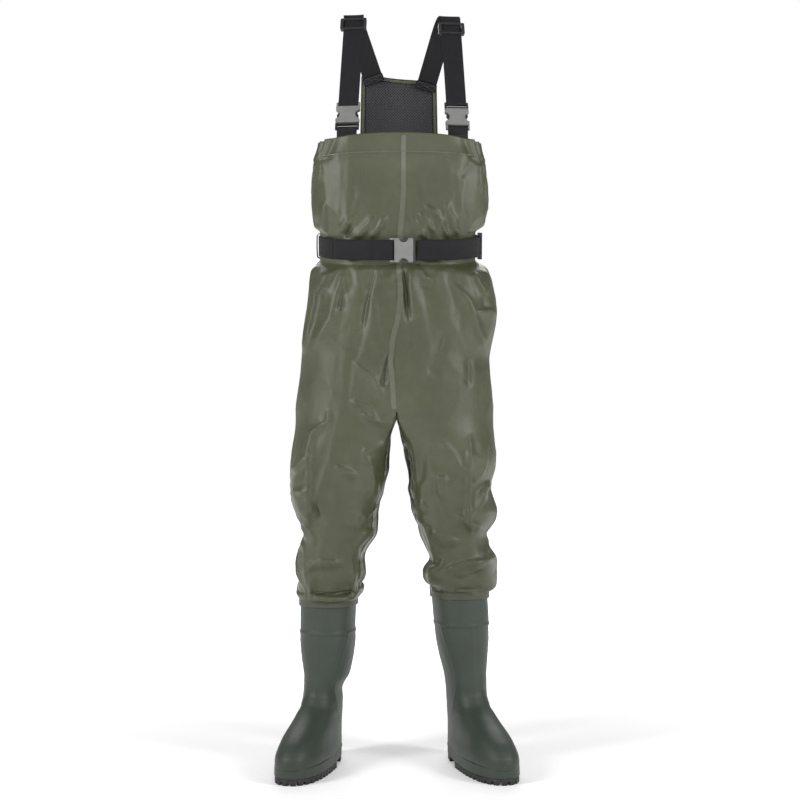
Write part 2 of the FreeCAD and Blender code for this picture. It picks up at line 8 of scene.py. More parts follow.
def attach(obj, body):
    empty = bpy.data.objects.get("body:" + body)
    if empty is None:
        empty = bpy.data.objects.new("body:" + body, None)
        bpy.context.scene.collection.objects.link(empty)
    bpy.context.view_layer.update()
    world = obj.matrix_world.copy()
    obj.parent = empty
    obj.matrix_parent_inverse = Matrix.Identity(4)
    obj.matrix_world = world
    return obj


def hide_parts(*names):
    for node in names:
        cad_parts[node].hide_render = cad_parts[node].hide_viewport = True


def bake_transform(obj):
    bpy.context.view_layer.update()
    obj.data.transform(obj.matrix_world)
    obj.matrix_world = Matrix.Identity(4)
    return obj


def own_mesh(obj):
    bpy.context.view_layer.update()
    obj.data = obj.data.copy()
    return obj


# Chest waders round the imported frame: metres, +Z up, the wearer's front faces -Y,
# "right" is the wearer's right (-X). Garment and boots are built here; buckles and
# slides are the frame's own nodes with softened edges and better materials.

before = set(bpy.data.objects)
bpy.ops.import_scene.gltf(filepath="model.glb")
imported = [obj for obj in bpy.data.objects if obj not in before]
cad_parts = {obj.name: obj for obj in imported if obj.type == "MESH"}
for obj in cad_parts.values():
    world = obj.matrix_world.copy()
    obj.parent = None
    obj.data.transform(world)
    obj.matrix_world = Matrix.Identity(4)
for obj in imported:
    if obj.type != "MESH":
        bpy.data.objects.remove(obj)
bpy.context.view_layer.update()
SIDES = {"right": -1, "left": 1}
ROOT = "garment"

# ---- driving dimensions ---------------------------------------------------------------

CAMERA_DISTANCE = 3.15
CAMERA_HEIGHT = 0.734
CAMERA_SHIFT = 0.00125
LENS = 70.9
BODY_Y = 0.028
CROTCH_Z = 0.717
BIB_TOP = 1.258
ARCH_FROM = 1.19
HEM_ARCH = 0.013
HEM_HALF = 0.165
HEM_WELD_Z = 1.2185
FACING_END_Z = 1.219
ELASTIC_Z = 1.238
BAG_TOP = 0.450
BAG_DROP = 0.012
BAG_REACH = 0.0085
FACING_INSET = 0.0022
FACING_T = 0.0009
ELASTIC_INSET = 0.0062
BELT_TILT = math.radians(10.0)
BELT_CENTRE = Vector((0.001, BODY_Y, 1.045))
BELT_RADIUS = 0.110
BELT_STRAIGHT = 0.053
BELT_HALF = 0.020
CUFF_Z = {"right": 0.321, "left": 0.336}
WELD_Z = {"right": 0.3265, "left": 0.342}
HALF_COLUMNS = 84
INNER_COLUMNS = 57
TORSO_ROWS = 100
LEG_ROWS = 76
FABRIC_T = 0.0014
TAPE_LIFT = 0.0006
TAPE_T = 0.0007
TAPE_HALF = 0.0052
INSEAM_HALF = 0.0042
WEB = 0.040
WEB_T = 0.0016
STITCH_PITCH = 0.0034
STITCH_LENGTH = 0.0024
THREAD_SIZE = 0.00055
DRAPE_FRAMES = 16
CREASE_GAIN = 1.5
FINE_CREASE_GAIN = 0.8
FINE_CREASE_WIDTH = 0.55
ROOM_LIGHT = 0.30
GATHER_FOLDS = 22
# Front seam's stray from the middle: height, sideways shift
SEAM_WANDER = [(0.717, 0.0), (0.80, -0.008), (0.86, -0.010), (0.93, -0.007), (0.99, -0.003),
               (1.045, 0.002), (1.165, 0.006), (1.258, 0.009)]
SEAM_WANDER_REACH = 0.055

# Torso outline: height, right edge x, left edge x
TORSO_EDGES = [
    (0.700, -0.208, 0.190), (0.726, -0.206, 0.188), (0.758, -0.202, 0.186),
    (0.790, -0.196, 0.182), (0.822, -0.194, 0.180), (0.854, -0.192, 0.186),
    (0.886, -0.186, 0.195), (0.918, -0.182, 0.199), (0.950, -0.178, 0.193),
    (0.982, -0.175, 0.181), (1.006, -0.168, 0.168), (1.030, -0.156, 0.157),
    (1.058, -0.156, 0.157), (1.078, -0.163, 0.160), (1.100, -0.171, 0.174),
    (1.126, -0.175, 0.181), (1.158, -0.175, 0.182), (1.190, -0.173, 0.177),
    (1.216, -0.169, 0.171), (1.236, -0.164, 0.165), (1.258, -0.160, 0.162),
]
# Torso depth: height, front y, back y, squareness
TORSO_DEPTH = [
    (0.700, -0.088, 0.146, 2.5), (0.790, -0.092, 0.148, 2.5), (0.900, -0.092, 0.149, 2.5),
    (0.975, -0.084, 0.140, 2.5), (1.022, -0.068, 0.120, 2.4), (1.066, -0.066, 0.123, 2.4),
    (1.110, -0.074, 0.130, 2.7), (1.180, -0.076, 0.131, 3.0), (1.258, -0.071, 0.127, 3.2),
]
# Legs: height, outer edge x, inner edge x
LEG_EDGES = {
    "right": [
        (0.703, -0.208, -0.006), (0.670, -0.211, -0.019), (0.646, -0.214, -0.022),
        (0.598, -0.216, -0.028), (0.566, -0.218, -0.038), (0.534, -0.218, -0.048),
        (0.518, -0.213, -0.049), (0.500, -0.198, -0.051), (0.486, -0.187, -0.053),
        (0.470, -0.189, -0.057), (0.446, -0.194, -0.070), (0.422, -0.199, -0.079),
        (0.390, -0.201, -0.080), (0.358, -0.199, -0.083), (0.335, -0.199, -0.085),
        (0.318, -0.198, -0.086),
    ],
    "left": [
        (0.703, 0.190, -0.002), (0.670, 0.192, 0.005), (0.630, 0.194, 0.014),
        (0.598, 0.187, 0.022), (0.574, 0.178, 0.025), (0.560, 0.177, 0.023),
        (0.540, 0.184, 0.027), (0.518, 0.193, 0.029), (0.500, 0.189, 0.034),
        (0.478, 0.174, 0.042), (0.466, 0.172, 0.046), (0.446, 0.177, 0.056),
        (0.420, 0.186, 0.070), (0.406, 0.188, 0.069), (0.392, 0.185, 0.057),
        (0.376, 0.183, 0.060), (0.358, 0.181, 0.067), (0.340, 0.180, 0.069),
        (0.318, 0.178, 0.070),
    ],
}
# Legs: height, front y, back y, squareness
LEG_DEPTH = [
    (0.703, -0.086, 0.146, 2.5), (0.640, -0.084, 0.142, 2.7), (0.560, -0.080, 0.134, 2.9),
    (0.500, -0.070, 0.128, 2.9), (0.440, -0.052, 0.124, 2.9), (0.380, -0.034, 0.122, 2.8),
    (0.345, -0.016, 0.119, 2.6), (0.318, -0.014, 0.117, 2.5),
]

# Boots: ankle place, toe-out angle, inward lean of the shaft up to its top
BOOT_ANKLE = {"right": (-0.156, 0.052), "left": (0.140, 0.054)}
BOOT_SPLAY = {"right": math.radians(15.0), "left": math.radians(18.0)}
BOOT_LEAN = {"right": 0.014, "left": 0.017}
BOOT_TOP = 0.345
BOOT_ANKLE_Z = 0.100
# Boot outlines: height, heel behind the ankle, toe ahead of it, half width
BOOT_ROWS = [
    (0.026, 0.071, 0.213, 0.043), (0.036, 0.073, 0.215, 0.0445), (0.050, 0.073, 0.213, 0.0445),
    (0.062, 0.072, 0.205, 0.0435), (0.074, 0.071, 0.189, 0.042), (0.086, 0.069, 0.160, 0.0405),
    (0.098, 0.067, 0.125, 0.039), (0.112, 0.064, 0.090, 0.038), (0.128, 0.062, 0.066, 0.037),
    (0.150, 0.060, 0.054, 0.0365), (0.180, 0.061, 0.052, 0.039), (0.215, 0.064, 0.055, 0.0455),
    (0.250, 0.066, 0.059, 0.050), (0.300, 0.065, 0.061, 0.053), (0.345, 0.063, 0.062, 0.054),
]


# ---- small helpers --------------------------------------------------------------------

def smooth_table(rows, heights, passes=2):
    """Columns of a table read at the given heights, rounded off a little."""
    table = np.array(sorted(rows))
    fine = np.linspace(table[0, 0], table[-1, 0], 400)
    columns = []
    for k in range(1, table.shape[1]):
        line = np.interp(fine, table[:, 0], table[:, k])
        window = np.hanning(15)
        window /= window.sum()
        for _ in range(passes):
            padded = np.pad(line, 7, mode="edge")
            line = np.convolve(padded, window, mode="valid")
        columns.append(np.interp(heights, fine, line))
    return columns


def mesh_object(name, verts, faces, material=None, smooth=True):
    mesh = bpy.data.meshes.new(name)
    mesh.from_pydata([tuple(v) for v in verts], [], [tuple(f) for f in faces])
    mesh.update()
    mesh.polygons.foreach_set("use_smooth", [smooth] * len(mesh.polygons))
    obj = bpy.data.objects.new(name, mesh)
    bpy.context.scene.collection.objects.link(obj)
    if material is not None:
        mesh.materials.append(material)
    return obj


def ring_faces(rows, columns, flip=False):
    """Quads between closed rows of vertices that follow one another."""
    faces = []
    for r in range(rows - 1):
        a, b = r * columns, (r + 1) * columns
        for c in range(columns):
            n = (c + 1) % columns
            faces.append((a + c, a + n, b + n, b + c) if flip else (a + c, b + c, b + n, a + n))
    return faces


def share(x):
    """Keeps values between 0 and 1."""
    return np.clip(x, 0.0, 1.0)


def ease(t):
    """Smooth step of a share from 0 to 1."""
    return t * t * (3.0 - 2.0 * t)


def bell(x, width):
    """A smooth crest of height 1 at zero."""
    return np.exp(-(x / width) ** 2)


def bake_modifiers(obj):
    """Apply every modifier, so that the object keeps only its final mesh."""
    bpy.context.view_layer.update()
    graph = bpy.context.evaluated_depsgraph_get()
    mesh = bpy.data.meshes.new_from_object(obj.evaluated_get(graph), depsgraph=graph)
    obj.modifiers.clear()
    obj.data = mesh
    return obj


def get_points(obj):
    points = np.empty(len(obj.data.vertices) * 3)
    obj.data.vertices.foreach_get("co", points)
    return points.reshape(-1, 3)


def set_points(obj, points):
    obj.data.vertices.foreach_set("co", np.asarray(points, float).ravel())
    obj.data.update()


def get_normals(obj):
    normals = np.empty(len(obj.data.vertices) * 3)
    obj.data.vertices.foreach_get("normal", normals)
    return normals.reshape(-1, 3)


def subdivide(obj):
    mod = obj.modifiers.new("subdivision", "SUBSURF")
    mod.levels = 1
    mod.render_levels = 1
    return bake_modifiers(obj)


def thicken(obj, thickness, offset=-1.0):
    mod = obj.modifiers.new("thickness", "SOLIDIFY")
    mod.thickness = thickness
    mod.offset = offset
    mod.use_even_offset = False
    return bake_modifiers(obj)


def place(obj, body, slot, *replaced):
    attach(obj, body)
    if replaced:
        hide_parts(*replaced)
    return obj


# ---- materials ------------------------------------------------------------------------

class Shader:
    """A principled material whose nodes are added by short calls."""

    def __init__(self, name, rough=0.5, specular=0.5, coat=0.0, coat_rough=0.2, sheen=0.0):
        self.material = bpy.data.materials.new(name)
        self.material.use_nodes = True
        self.tree = self.material.node_tree
        self.bsdf = self.tree.nodes["Principled BSDF"]
        values = {"Roughness": rough, "Specular IOR Level": specular, "Coat Weight": coat,
                  "Coat Roughness": coat_rough, "Sheen Weight": sheen}
        for key, value in values.items():
            self.bsdf.inputs[key].default_value = value
        self.last_normal = None

    def node(self, kind, **values):
        node = self.tree.nodes.new(kind)
        for key, value in values.items():
            if key in node.inputs:
                node.inputs[key].default_value = value
            else:
                setattr(node, key, value)
        return node

    def link(self, source, target):
        self.tree.links.new(source, target)

    def coords(self, kind="Object", scale=(1.0, 1.0, 1.0)):
        source = self.node("ShaderNodeTexCoord")
        mapping = self.node("ShaderNodeMapping", Scale=scale)
        self.link(source.outputs[kind], mapping.inputs["Vector"])
        return mapping.outputs["Vector"]

    def noise(self, vector, scale, detail=3.0, rough=0.5, distortion=0.0):
        node = self.node("ShaderNodeTexNoise", Scale=scale, Detail=detail, Roughness=rough,
                         Distortion=distortion)
        self.link(vector, node.inputs["Vector"])
        return node.outputs["Fac"]

    def wave(self, vector, scale, direction, distortion=0.0):
        node = self.node("ShaderNodeTexWave", bands_direction=direction, Scale=scale,
                         Distortion=distortion)
        self.link(vector, node.inputs["Vector"])
        return node.outputs["Fac"]

    def ramp(self, value, stops):
        node = self.node("ShaderNodeValToRGB")
        elements = node.color_ramp.elements
        while len(elements) < len(stops):
            elements.new(0.5)
        for element, (position, colour) in zip(elements, stops):
            element.position = position
            element.color = colour if len(colour) == 4 else (*colour, 1.0)
        self.link(value, node.inputs["Fac"])
        return node.outputs["Color"]

    def math(self, operation, a, b):
        node = self.node("ShaderNodeMath", operation=operation)
        for socket, value in zip(node.inputs, (a, b)):
            if isinstance(value, (int, float)):
                socket.default_value = value
            else:
                self.link(value, socket)
        return node.outputs["Value"]

    def mix(self, factor, a, b, blend="MIX"):
        node = self.node("ShaderNodeMix", data_type="RGBA", blend_type=blend)
        for socket, value in ((node.inputs[0], factor), (node.inputs[6], a), (node.inputs[7], b)):
            if isinstance(value, (int, float)):
                socket.default_value = value
            elif isinstance(value, tuple):
                socket.default_value = (*value, 1.0)
            else:
                self.link(value, socket)
        return node.outputs[2]

    def colour(self, value):
        self.link(value, self.bsdf.inputs["Base Color"])

    def roughness(self, value, low, high):
        node = self.node("ShaderNodeMapRange", **{"To Min": low, "To Max": high})
        self.link(value, node.inputs["Value"])
        self.link(node.outputs["Result"], self.bsdf.inputs["Roughness"])

    def bump(self, height, distance, strength=1.0):
        node = self.node("ShaderNodeBump", Strength=strength, Distance=distance)
        self.link(height, node.inputs["Height"])
        if self.last_normal is not None:
            self.link(self.last_normal, node.inputs["Normal"])
        self.last_normal = node.outputs["Normal"]
        self.link(self.last_normal, self.bsdf.inputs["Normal"])


def coated_fabric(name, dark, light, rough=(0.40, 0.52), grain=1.0):
    """Olive coated nylon: faint scrim showing through, cloudy gloss, tiny creases."""
    s = Shader(name, specular=0.45, coat=0.12, coat_rough=0.35)
    p = s.coords()
    clouds = s.noise(p, 9.0, 4.0)
    base = s.ramp(clouds, [(0.3, dark), (0.7, light)])
    scuffs = s.noise(p, 55.0, 5.0, 0.65)
    tint = s.ramp(scuffs, [(0.35, (0.92, 0.92, 0.92)), (0.65, (1.06, 1.06, 1.05))])
    s.colour(s.mix(1.0, base, tint, "MULTIPLY"))
    s.roughness(s.noise(p, 26.0, 4.0), *rough)
    warp = s.wave(p, 420.0, "Z")
    weft = s.wave(p, 420.0, "X")
    s.bump(s.math("MULTIPLY", warp, weft), 0.00008 * grain, 0.5)
    s.bump(s.noise(p, 120.0, 4.0, 0.6), 0.0005 * grain, 0.35)
    s.bump(s.noise(p, 30.0, 3.0, 0.5, 0.6), 0.003 * grain, 0.25)
    return s.material


def moulded_pvc(name, dark, light, rough=(0.45, 0.60)):
    """Boot PVC: even colour, soft gloss, slight flow marks and dust in the grain."""
    s = Shader(name, specular=0.42, coat=0.05, coat_rough=0.35)
    p = s.coords()
    base = s.ramp(s.noise(p, 14.0, 4.0), [(0.3, dark), (0.7, light)])
    s.colour(base)
    s.roughness(s.noise(p, 40.0, 4.0), *rough)
    s.bump(s.noise(p, 900.0, 2.0), 0.00012, 0.35)
    s.bump(s.noise(p, 22.0, 3.0), 0.0016, 0.2)
    return s.material


def moulded_plastic(name, dark, light):
    """Hard buckle plastic: satin, with a fine moulded grain."""
    s = Shader(name, specular=0.5)
    p = s.coords()
    s.colour(s.ramp(s.noise(p, 60.0, 3.0), [(0.3, dark), (0.7, light)]))
    s.roughness(s.noise(p, 150.0, 3.0), 0.38, 0.52)
    s.bump(s.noise(p, 1600.0, 2.0), 0.00006, 0.5)
    return s.material


def webbing_material(name, dark, light):
    """Polypropylene webbing: ribs along the run crossed by tight picks."""
    s = Shader(name, rough=0.68, specular=0.25, sheen=0.03)
    uv = s.coords("UV")
    along = s.wave(uv, 190.0, "X")
    cross = s.wave(uv, 330.0, "Y", 0.4)
    weave = s.math("MULTIPLY", along, cross)
    fuzz = s.noise(s.coords(), 700.0, 3.0)
    shade = s.math("ADD", s.math("MULTIPLY", weave, 0.6), s.math("MULTIPLY", fuzz, 0.5))
    s.colour(s.ramp(shade, [(0.15, dark), (0.85, light)]))
    s.roughness(fuzz, 0.52, 0.72)
    s.bump(weave, 0.0005, 0.7)
    s.bump(fuzz, 0.0002, 0.4)
    return s.material


def spacer_mesh_material(name):
    """Dark air mesh: staggered holes between crossing yarns."""
    s = Shader(name, rough=0.7, specular=0.3, sheen=0.2)
    uv = s.coords("UV")
    one = s.wave(uv, 105.0, "DIAGONAL")
    flip = s.coords("UV", (-1.0, 1.0, 1.0))
    two = s.wave(flip, 105.0, "DIAGONAL")
    yarn = s.math("MAXIMUM", one, two)
    s.colour(s.ramp(yarn, [(0.45, (0.004, 0.004, 0.005)), (0.85, (0.050, 0.050, 0.055))]))
    s.bump(yarn, 0.0012, 0.8)
    s.bump(s.noise(s.coords(), 500.0, 3.0), 0.0003, 0.4)
    return s.material


def plain_textile(name, dark, light, scale=380.0):
    """Plain weave or felt, matt."""
    s = Shader(name, rough=0.75, specular=0.3, sheen=0.2)
    p = s.coords()
    weave = s.math("MULTIPLY", s.wave(p, scale, "Z"), s.wave(p, scale, "X"))
    s.colour(s.ramp(s.noise(p, 60.0, 4.0), [(0.3, dark), (0.7, light)]))
    s.bump(weave, 0.0002, 0.6)
    return s.material


FABRIC = coated_fabric("olive_coated_nylon", (0.043, 0.048, 0.023), (0.058, 0.063, 0.032))
TAPE = coated_fabric("seam_tape", (0.072, 0.076, 0.050), (0.095, 0.099, 0.068), (0.30, 0.42), 0.6)
BINDING = coated_fabric("binding_tape", (0.050, 0.055, 0.026), (0.070, 0.075, 0.040), (0.45, 0.6))
BOOT = moulded_pvc("green_boot_pvc", (0.029, 0.038, 0.029), (0.038, 0.049, 0.037))
WELD = moulded_pvc("weld_pvc", (0.045, 0.050, 0.030), (0.058, 0.063, 0.040))
SOLE = moulded_pvc("black_outsole", (0.012, 0.013, 0.012), (0.026, 0.027, 0.026), (0.5, 0.68))
GREY = moulded_plastic("grey_buckle_plastic", (0.140, 0.140, 0.136), (0.170, 0.170, 0.166))
BLACK = moulded_plastic("black_buckle_plastic", (0.010, 0.010, 0.011), (0.02, 0.02, 0.022))
WEBBING = webbing_material("black_webbing", (0.002, 0.002, 0.003), (0.010, 0.010, 0.012))
MESH = spacer_mesh_material("spacer_mesh")
THREAD = plain_textile("grey_thread", (0.060, 0.060, 0.062), (0.100, 0.100, 0.104), 900.0)
LINING = plain_textile("lining_knit", (0.04, 0.043, 0.042), (0.07, 0.073, 0.07))
ELASTIC = plain_textile("black_elastic", (0.01, 0.01, 0.012), (0.03, 0.03, 0.034))
FELT = plain_textile("insole_felt", (0.10, 0.10, 0.10), (0.15, 0.15, 0.15))


# ---- the garment: one sheet of coated fabric ------------------------------------------

COLUMNS = 2 * HALF_COLUMNS
BACK_COLUMN = HALF_COLUMNS


def superellipse(angle, half_x, front, back, square):
    """A point of a rounded-box outline; angle 0 is the front centre, +90 degrees is left."""
    sx, sy = math.sin(angle), -math.cos(angle)
    reach = (abs(sx) ** square + abs(sy) ** square) ** (-1.0 / square)
    depth = back if sy > 0 else front
    return sx * reach * half_x, sy * reach * depth


def outline_ring(right, left, front, back, square, count):
    """Evenly spaced points of the outline, from the front round to it, as x and y rows."""
    centre = 0.5 * (right + left)
    half_x = 0.5 * (left - right)
    angles = np.linspace(0.0, 2.0 * math.pi, 721)
    dense = np.array([superellipse(a, half_x, BODY_Y - front, back - BODY_Y, square)
                      for a in angles])
    length = np.concatenate([[0], np.cumsum(np.hypot(*np.diff(dense, axis=0).T))])
    wanted = np.linspace(0.0, length[-1], count)
    return (np.interp(wanted, length, dense[:, 0]) + centre,
            np.interp(wanted, length, dense[:, 1]) + BODY_Y)


def torso_rows():
    """Rows of the torso from the bib's top edge down to the crotch."""
    heights = np.linspace(BIB_TOP, CROTCH_Z, TORSO_ROWS)
    right, left = smooth_table(TORSO_EDGES, heights)
    front, back, square = smooth_table(TORSO_DEPTH, heights)
    rows = []
    for k, z in enumerate(heights):
        x, y = outline_ring(right[k], left[k], front[k], back[k], square[k], COLUMNS + 1)
        rows.append(np.column_stack([x[:-1], y[:-1], np.full(COLUMNS, z)]))
    return rows


def leg_rows(side):
    """Rows of one leg below the crotch. Columns run from the front centre seam round the
    outside to the back, then forward again along the inner thigh."""
    sign = SIDES[side]
    heights = np.linspace(CROTCH_Z, CUFF_Z[side], LEG_ROWS)[1:]
    outer, inner = smooth_table(LEG_EDGES[side], heights, 1)
    front, back, square = smooth_table(LEG_DEPTH, heights)
    rows = []
    total = HALF_COLUMNS + 1 + INNER_COLUMNS
    for k, z in enumerate(heights):
        middle = 0.5 * (outer[k] + inner[k])
        half = 0.5 * abs(outer[k] - inner[k])
        # the seam column starts at the inner front corner and slides to the inseam
        turn = math.radians(62.0)
        angles_out = np.linspace(-turn, math.pi + turn, 721)
        dense = np.array([superellipse(a, half, BODY_Y - front[k], back[k] - BODY_Y, square[k])
                          for a in angles_out])
        length = np.concatenate([[0], np.cumsum(np.hypot(*np.diff(dense, axis=0).T))])
        wanted = np.linspace(0.0, length[-1], HALF_COLUMNS + 1)
        px = np.interp(wanted, length, dense[:, 0])
        py = np.interp(wanted, length, dense[:, 1])
        angles_in = np.linspace(math.pi + turn, 2.0 * math.pi - turn, 361)
        dense = np.array([superellipse(a, half, BODY_Y - front[k], back[k] - BODY_Y, square[k])
                          for a in angles_in])
        length = np.concatenate([[0], np.cumsum(np.hypot(*np.diff(dense, axis=0).T))])
        wanted = np.linspace(0.0, length[-1], INNER_COLUMNS + 2)[1:-1]
        px = np.concatenate([px, np.interp(wanted, length, dense[:, 0])])
        py = np.concatenate([py, np.interp(wanted, length, dense[:, 1])])
        row = np.column_stack([middle + sign * px, BODY_Y + py, np.full(total, z)])
        rows.append(row)
    return rows


def crotch_line():
    """Points from the front centre to the back centre under the body."""
    front = np.array([-0.004, -0.088])
    back = np.array([-0.004, 0.146])
    t = np.linspace(0.0, 1.0, INNER_COLUMNS + 2)[1:-1]
    sag = 0.012 * np.sin(math.pi * t)
    return np.column_stack([front[0] + 0 * t, front[1] + (back[1] - front[1]) * t,
                            CROTCH_Z - 0.004 - sag])


def build_garment():
    """The fabric tube with two legs. Returns the object and the vertices of each leg's rows."""
    verts = []
    faces = ring_faces(TORSO_ROWS, COLUMNS)
    torso = torso_rows()
    for row in torso:
        verts.extend(row)
    last = (TORSO_ROWS - 1) * COLUMNS
    under = len(verts)
    verts.extend(crotch_line())
    legs = {}
    for side in SIDES:
        if side == "left":
            outer = [last + c for c in range(0, HALF_COLUMNS + 1)]
        else:
            outer = [last + (COLUMNS - c) % COLUMNS for c in range(0, HALF_COLUMNS + 1)]
        inner = [under + INNER_COLUMNS - 1 - k for k in range(INNER_COLUMNS)]
        previous = outer + inner
        rings = [previous]
        for row in leg_rows(side):
            first = len(verts)
            verts.extend(row)
            current = list(range(first, first + len(row)))
            total = len(row)
            for c in range(total):
                n = (c + 1) % total
                quad = (previous[c], current[c], current[n], previous[n])
                faces.append(quad if side == "left" else quad[::-1])
            previous = current
            rings.append(current)
        legs[side] = rings
    obj = mesh_object("garment_fabric", verts, faces, FABRIC)
    return obj, legs


# Creases of the front: height, width, then x and z along each one (negative is a valley)
FRONT_CREASES = [
    (0.005, 0.006, [(-0.084, 1.052), (-0.065, 1.073), (-0.045, 1.091)]),
    (0.0045, 0.005, [(-0.055, 1.052), (-0.039, 1.071), (-0.024, 1.093)]),
    (0.004, 0.006, [(-0.114, 1.067), (-0.102, 1.083), (-0.082, 1.091)]),
    (-0.004, 0.005, [(-0.102, 1.053), (-0.098, 1.067), (-0.090, 1.077)]),
    (0.004, 0.005, [(0.055, 1.048), (0.041, 1.069), (0.024, 1.093)]),
    (0.0045, 0.005, [(0.071, 1.063), (0.055, 1.081), (0.039, 1.101)]),
    (0.0045, 0.005, [(0.098, 1.052), (0.076, 1.095), (0.051, 1.114)]),
    (0.004, 0.005, [(0.116, 1.057), (0.106, 1.087), (0.088, 1.120)]),
    (0.0035, 0.006, [(-0.147, 1.124), (-0.147, 1.091), (-0.147, 1.055)]),
    (0.003, 0.006, [(-0.155, 1.224), (-0.155, 1.195), (-0.155, 1.169)]),
    (0.0035, 0.006, [(0.161, 1.204), (0.161, 1.175), (0.161, 1.146)]),
    (-0.002, 0.012, [(0.120, 1.169), (0.131, 1.185), (0.143, 1.200)]),
    (-0.004, 0.005, [(0.171, 1.193), (0.172, 1.155), (0.172, 1.118)]),
    (0.006, 0.011, [(-0.147, 0.979), (-0.143, 0.997), (-0.139, 1.010)]),
    (0.008, 0.007, [(-0.114, 1.014), (-0.137, 0.979), (-0.163, 0.946), (-0.167, 0.922),
                    (-0.178, 0.871), (-0.186, 0.834)]),
    (0.006, 0.015, [(-0.108, 0.985), (-0.123, 0.930), (-0.133, 0.893), (-0.165, 0.840)]),
    (-0.004, 0.007, [(-0.047, 1.001), (-0.053, 0.965), (-0.065, 0.918), (-0.074, 0.867)]),
    (-0.004, 0.008, [(-0.110, 0.952), (-0.112, 0.930), (-0.116, 0.908)]),
    (-0.006, 0.006, [(0.006, 1.001), (0.012, 0.950), (0.018, 0.887)]),
    (0.004, 0.006, [(-0.090, 0.808), (-0.069, 0.791), (-0.047, 0.777), (-0.031, 0.742)]),
    (0.004, 0.006, [(-0.098, 0.732), (-0.057, 0.722), (-0.043, 0.693)]),
    (0.004, 0.005, [(-0.074, 0.709), (-0.045, 0.693), (-0.014, 0.689)]),
    (0.0045, 0.008, [(0.031, 1.001), (0.045, 0.983), (0.059, 0.965)]),
    (0.007, 0.007, [(0.145, 0.985), (0.157, 0.963), (0.171, 0.942)]),
    (0.006, 0.007, [(0.151, 0.906), (0.171, 0.908), (0.192, 0.908)]),
    (0.005, 0.01, [(0.106, 0.961), (0.137, 0.926), (0.155, 0.871), (0.169, 0.840)]),
    (-0.004, 0.012, [(0.088, 0.867), (0.073, 0.822), (0.059, 0.781)]),
    (-0.003, 0.007, [(0.137, 0.834), (0.137, 0.797), (0.137, 0.761)]),
    (-0.005, 0.006, [(-0.020, 0.822), (-0.025, 0.797), (-0.031, 0.761)]),
    (0.006, 0.006, [(-0.141, 0.693), (-0.171, 0.669), (-0.177, 0.636), (-0.177, 0.558), (-0.176, 0.489)]),
    (0.0035, 0.004, [(-0.138, 0.714), (-0.137, 0.701), (-0.139, 0.687)]),
    (0.005, 0.006, [(-0.208, 0.597), (-0.194, 0.612), (-0.180, 0.624)]),
    (0.004, 0.005, [(-0.206, 0.554), (-0.192, 0.556), (-0.178, 0.554)]),
    (0.006, 0.01, [(-0.071, 0.632), (-0.057, 0.609), (-0.051, 0.577), (-0.053, 0.538)]),
    (0.005, 0.006, [(-0.071, 0.632), (-0.049, 0.646), (-0.025, 0.650)]),
    (0.004, 0.006, [(-0.125, 0.607), (-0.106, 0.597), (-0.088, 0.589)]),
    (-0.004, 0.005, [(-0.171, 0.538), (-0.163, 0.522), (-0.157, 0.505)]),
    (0.006, 0.005, [(0.022, 0.673), (0.031, 0.644), (0.035, 0.612), (0.037, 0.577)]),
    (-0.004, 0.005, [(0.010, 0.656), (0.018, 0.620), (0.022, 0.577)]),
    (0.006, 0.006, [(0.139, 0.663), (0.137, 0.597), (0.137, 0.538), (0.139, 0.475)]),
    (0.0035, 0.004, [(0.078, 0.589), (0.078, 0.565), (0.080, 0.544)]),
    (0.0035, 0.004, [(0.088, 0.589), (0.088, 0.565), (0.090, 0.544)]),
    (0.004, 0.004, [(0.043, 0.538), (0.051, 0.526), (0.057, 0.516)]),
    (0.005, 0.005, [(0.176, 0.573), (0.167, 0.562), (0.159, 0.548)]),
    (0.004, 0.007, [(0.080, 0.656), (0.104, 0.632), (0.123, 0.597)]),
    (0.006, 0.006, [(-0.188, 0.493), (-0.180, 0.485), (-0.172, 0.469), (-0.165, 0.452)]),
    (0.005, 0.005, [(-0.084, 0.426), (-0.084, 0.448), (-0.069, 0.469), (-0.049, 0.477)]),
    (0.006, 0.006, [(-0.184, 0.393), (-0.169, 0.411), (-0.141, 0.418), (-0.116, 0.415)]),
    (0.005, 0.005, [(-0.174, 0.395), (-0.174, 0.369), (-0.176, 0.342)]),
    (0.005, 0.005, [(-0.092, 0.399), (-0.092, 0.369), (-0.090, 0.342)]),
    (-0.005, 0.005, [(-0.174, 0.352), (-0.133, 0.348), (-0.092, 0.352)]),
    (0.005, 0.004, [(-0.178, 0.338), (-0.133, 0.336), (-0.088, 0.338)]),
    (0.007, 0.006, [(0.188, 0.422), (0.159, 0.416), (0.133, 0.415), (0.092, 0.401)]),
    (0.007, 0.006, [(0.059, 0.393), (0.082, 0.407), (0.092, 0.424)]),
    (-0.005, 0.005, [(0.110, 0.381), (0.139, 0.385), (0.167, 0.397)]),
    (0.005, 0.006, [(0.061, 0.479), (0.088, 0.464), (0.120, 0.458)]),
    (0.004, 0.006, [(0.110, 0.514), (0.135, 0.495), (0.163, 0.487)]),
]
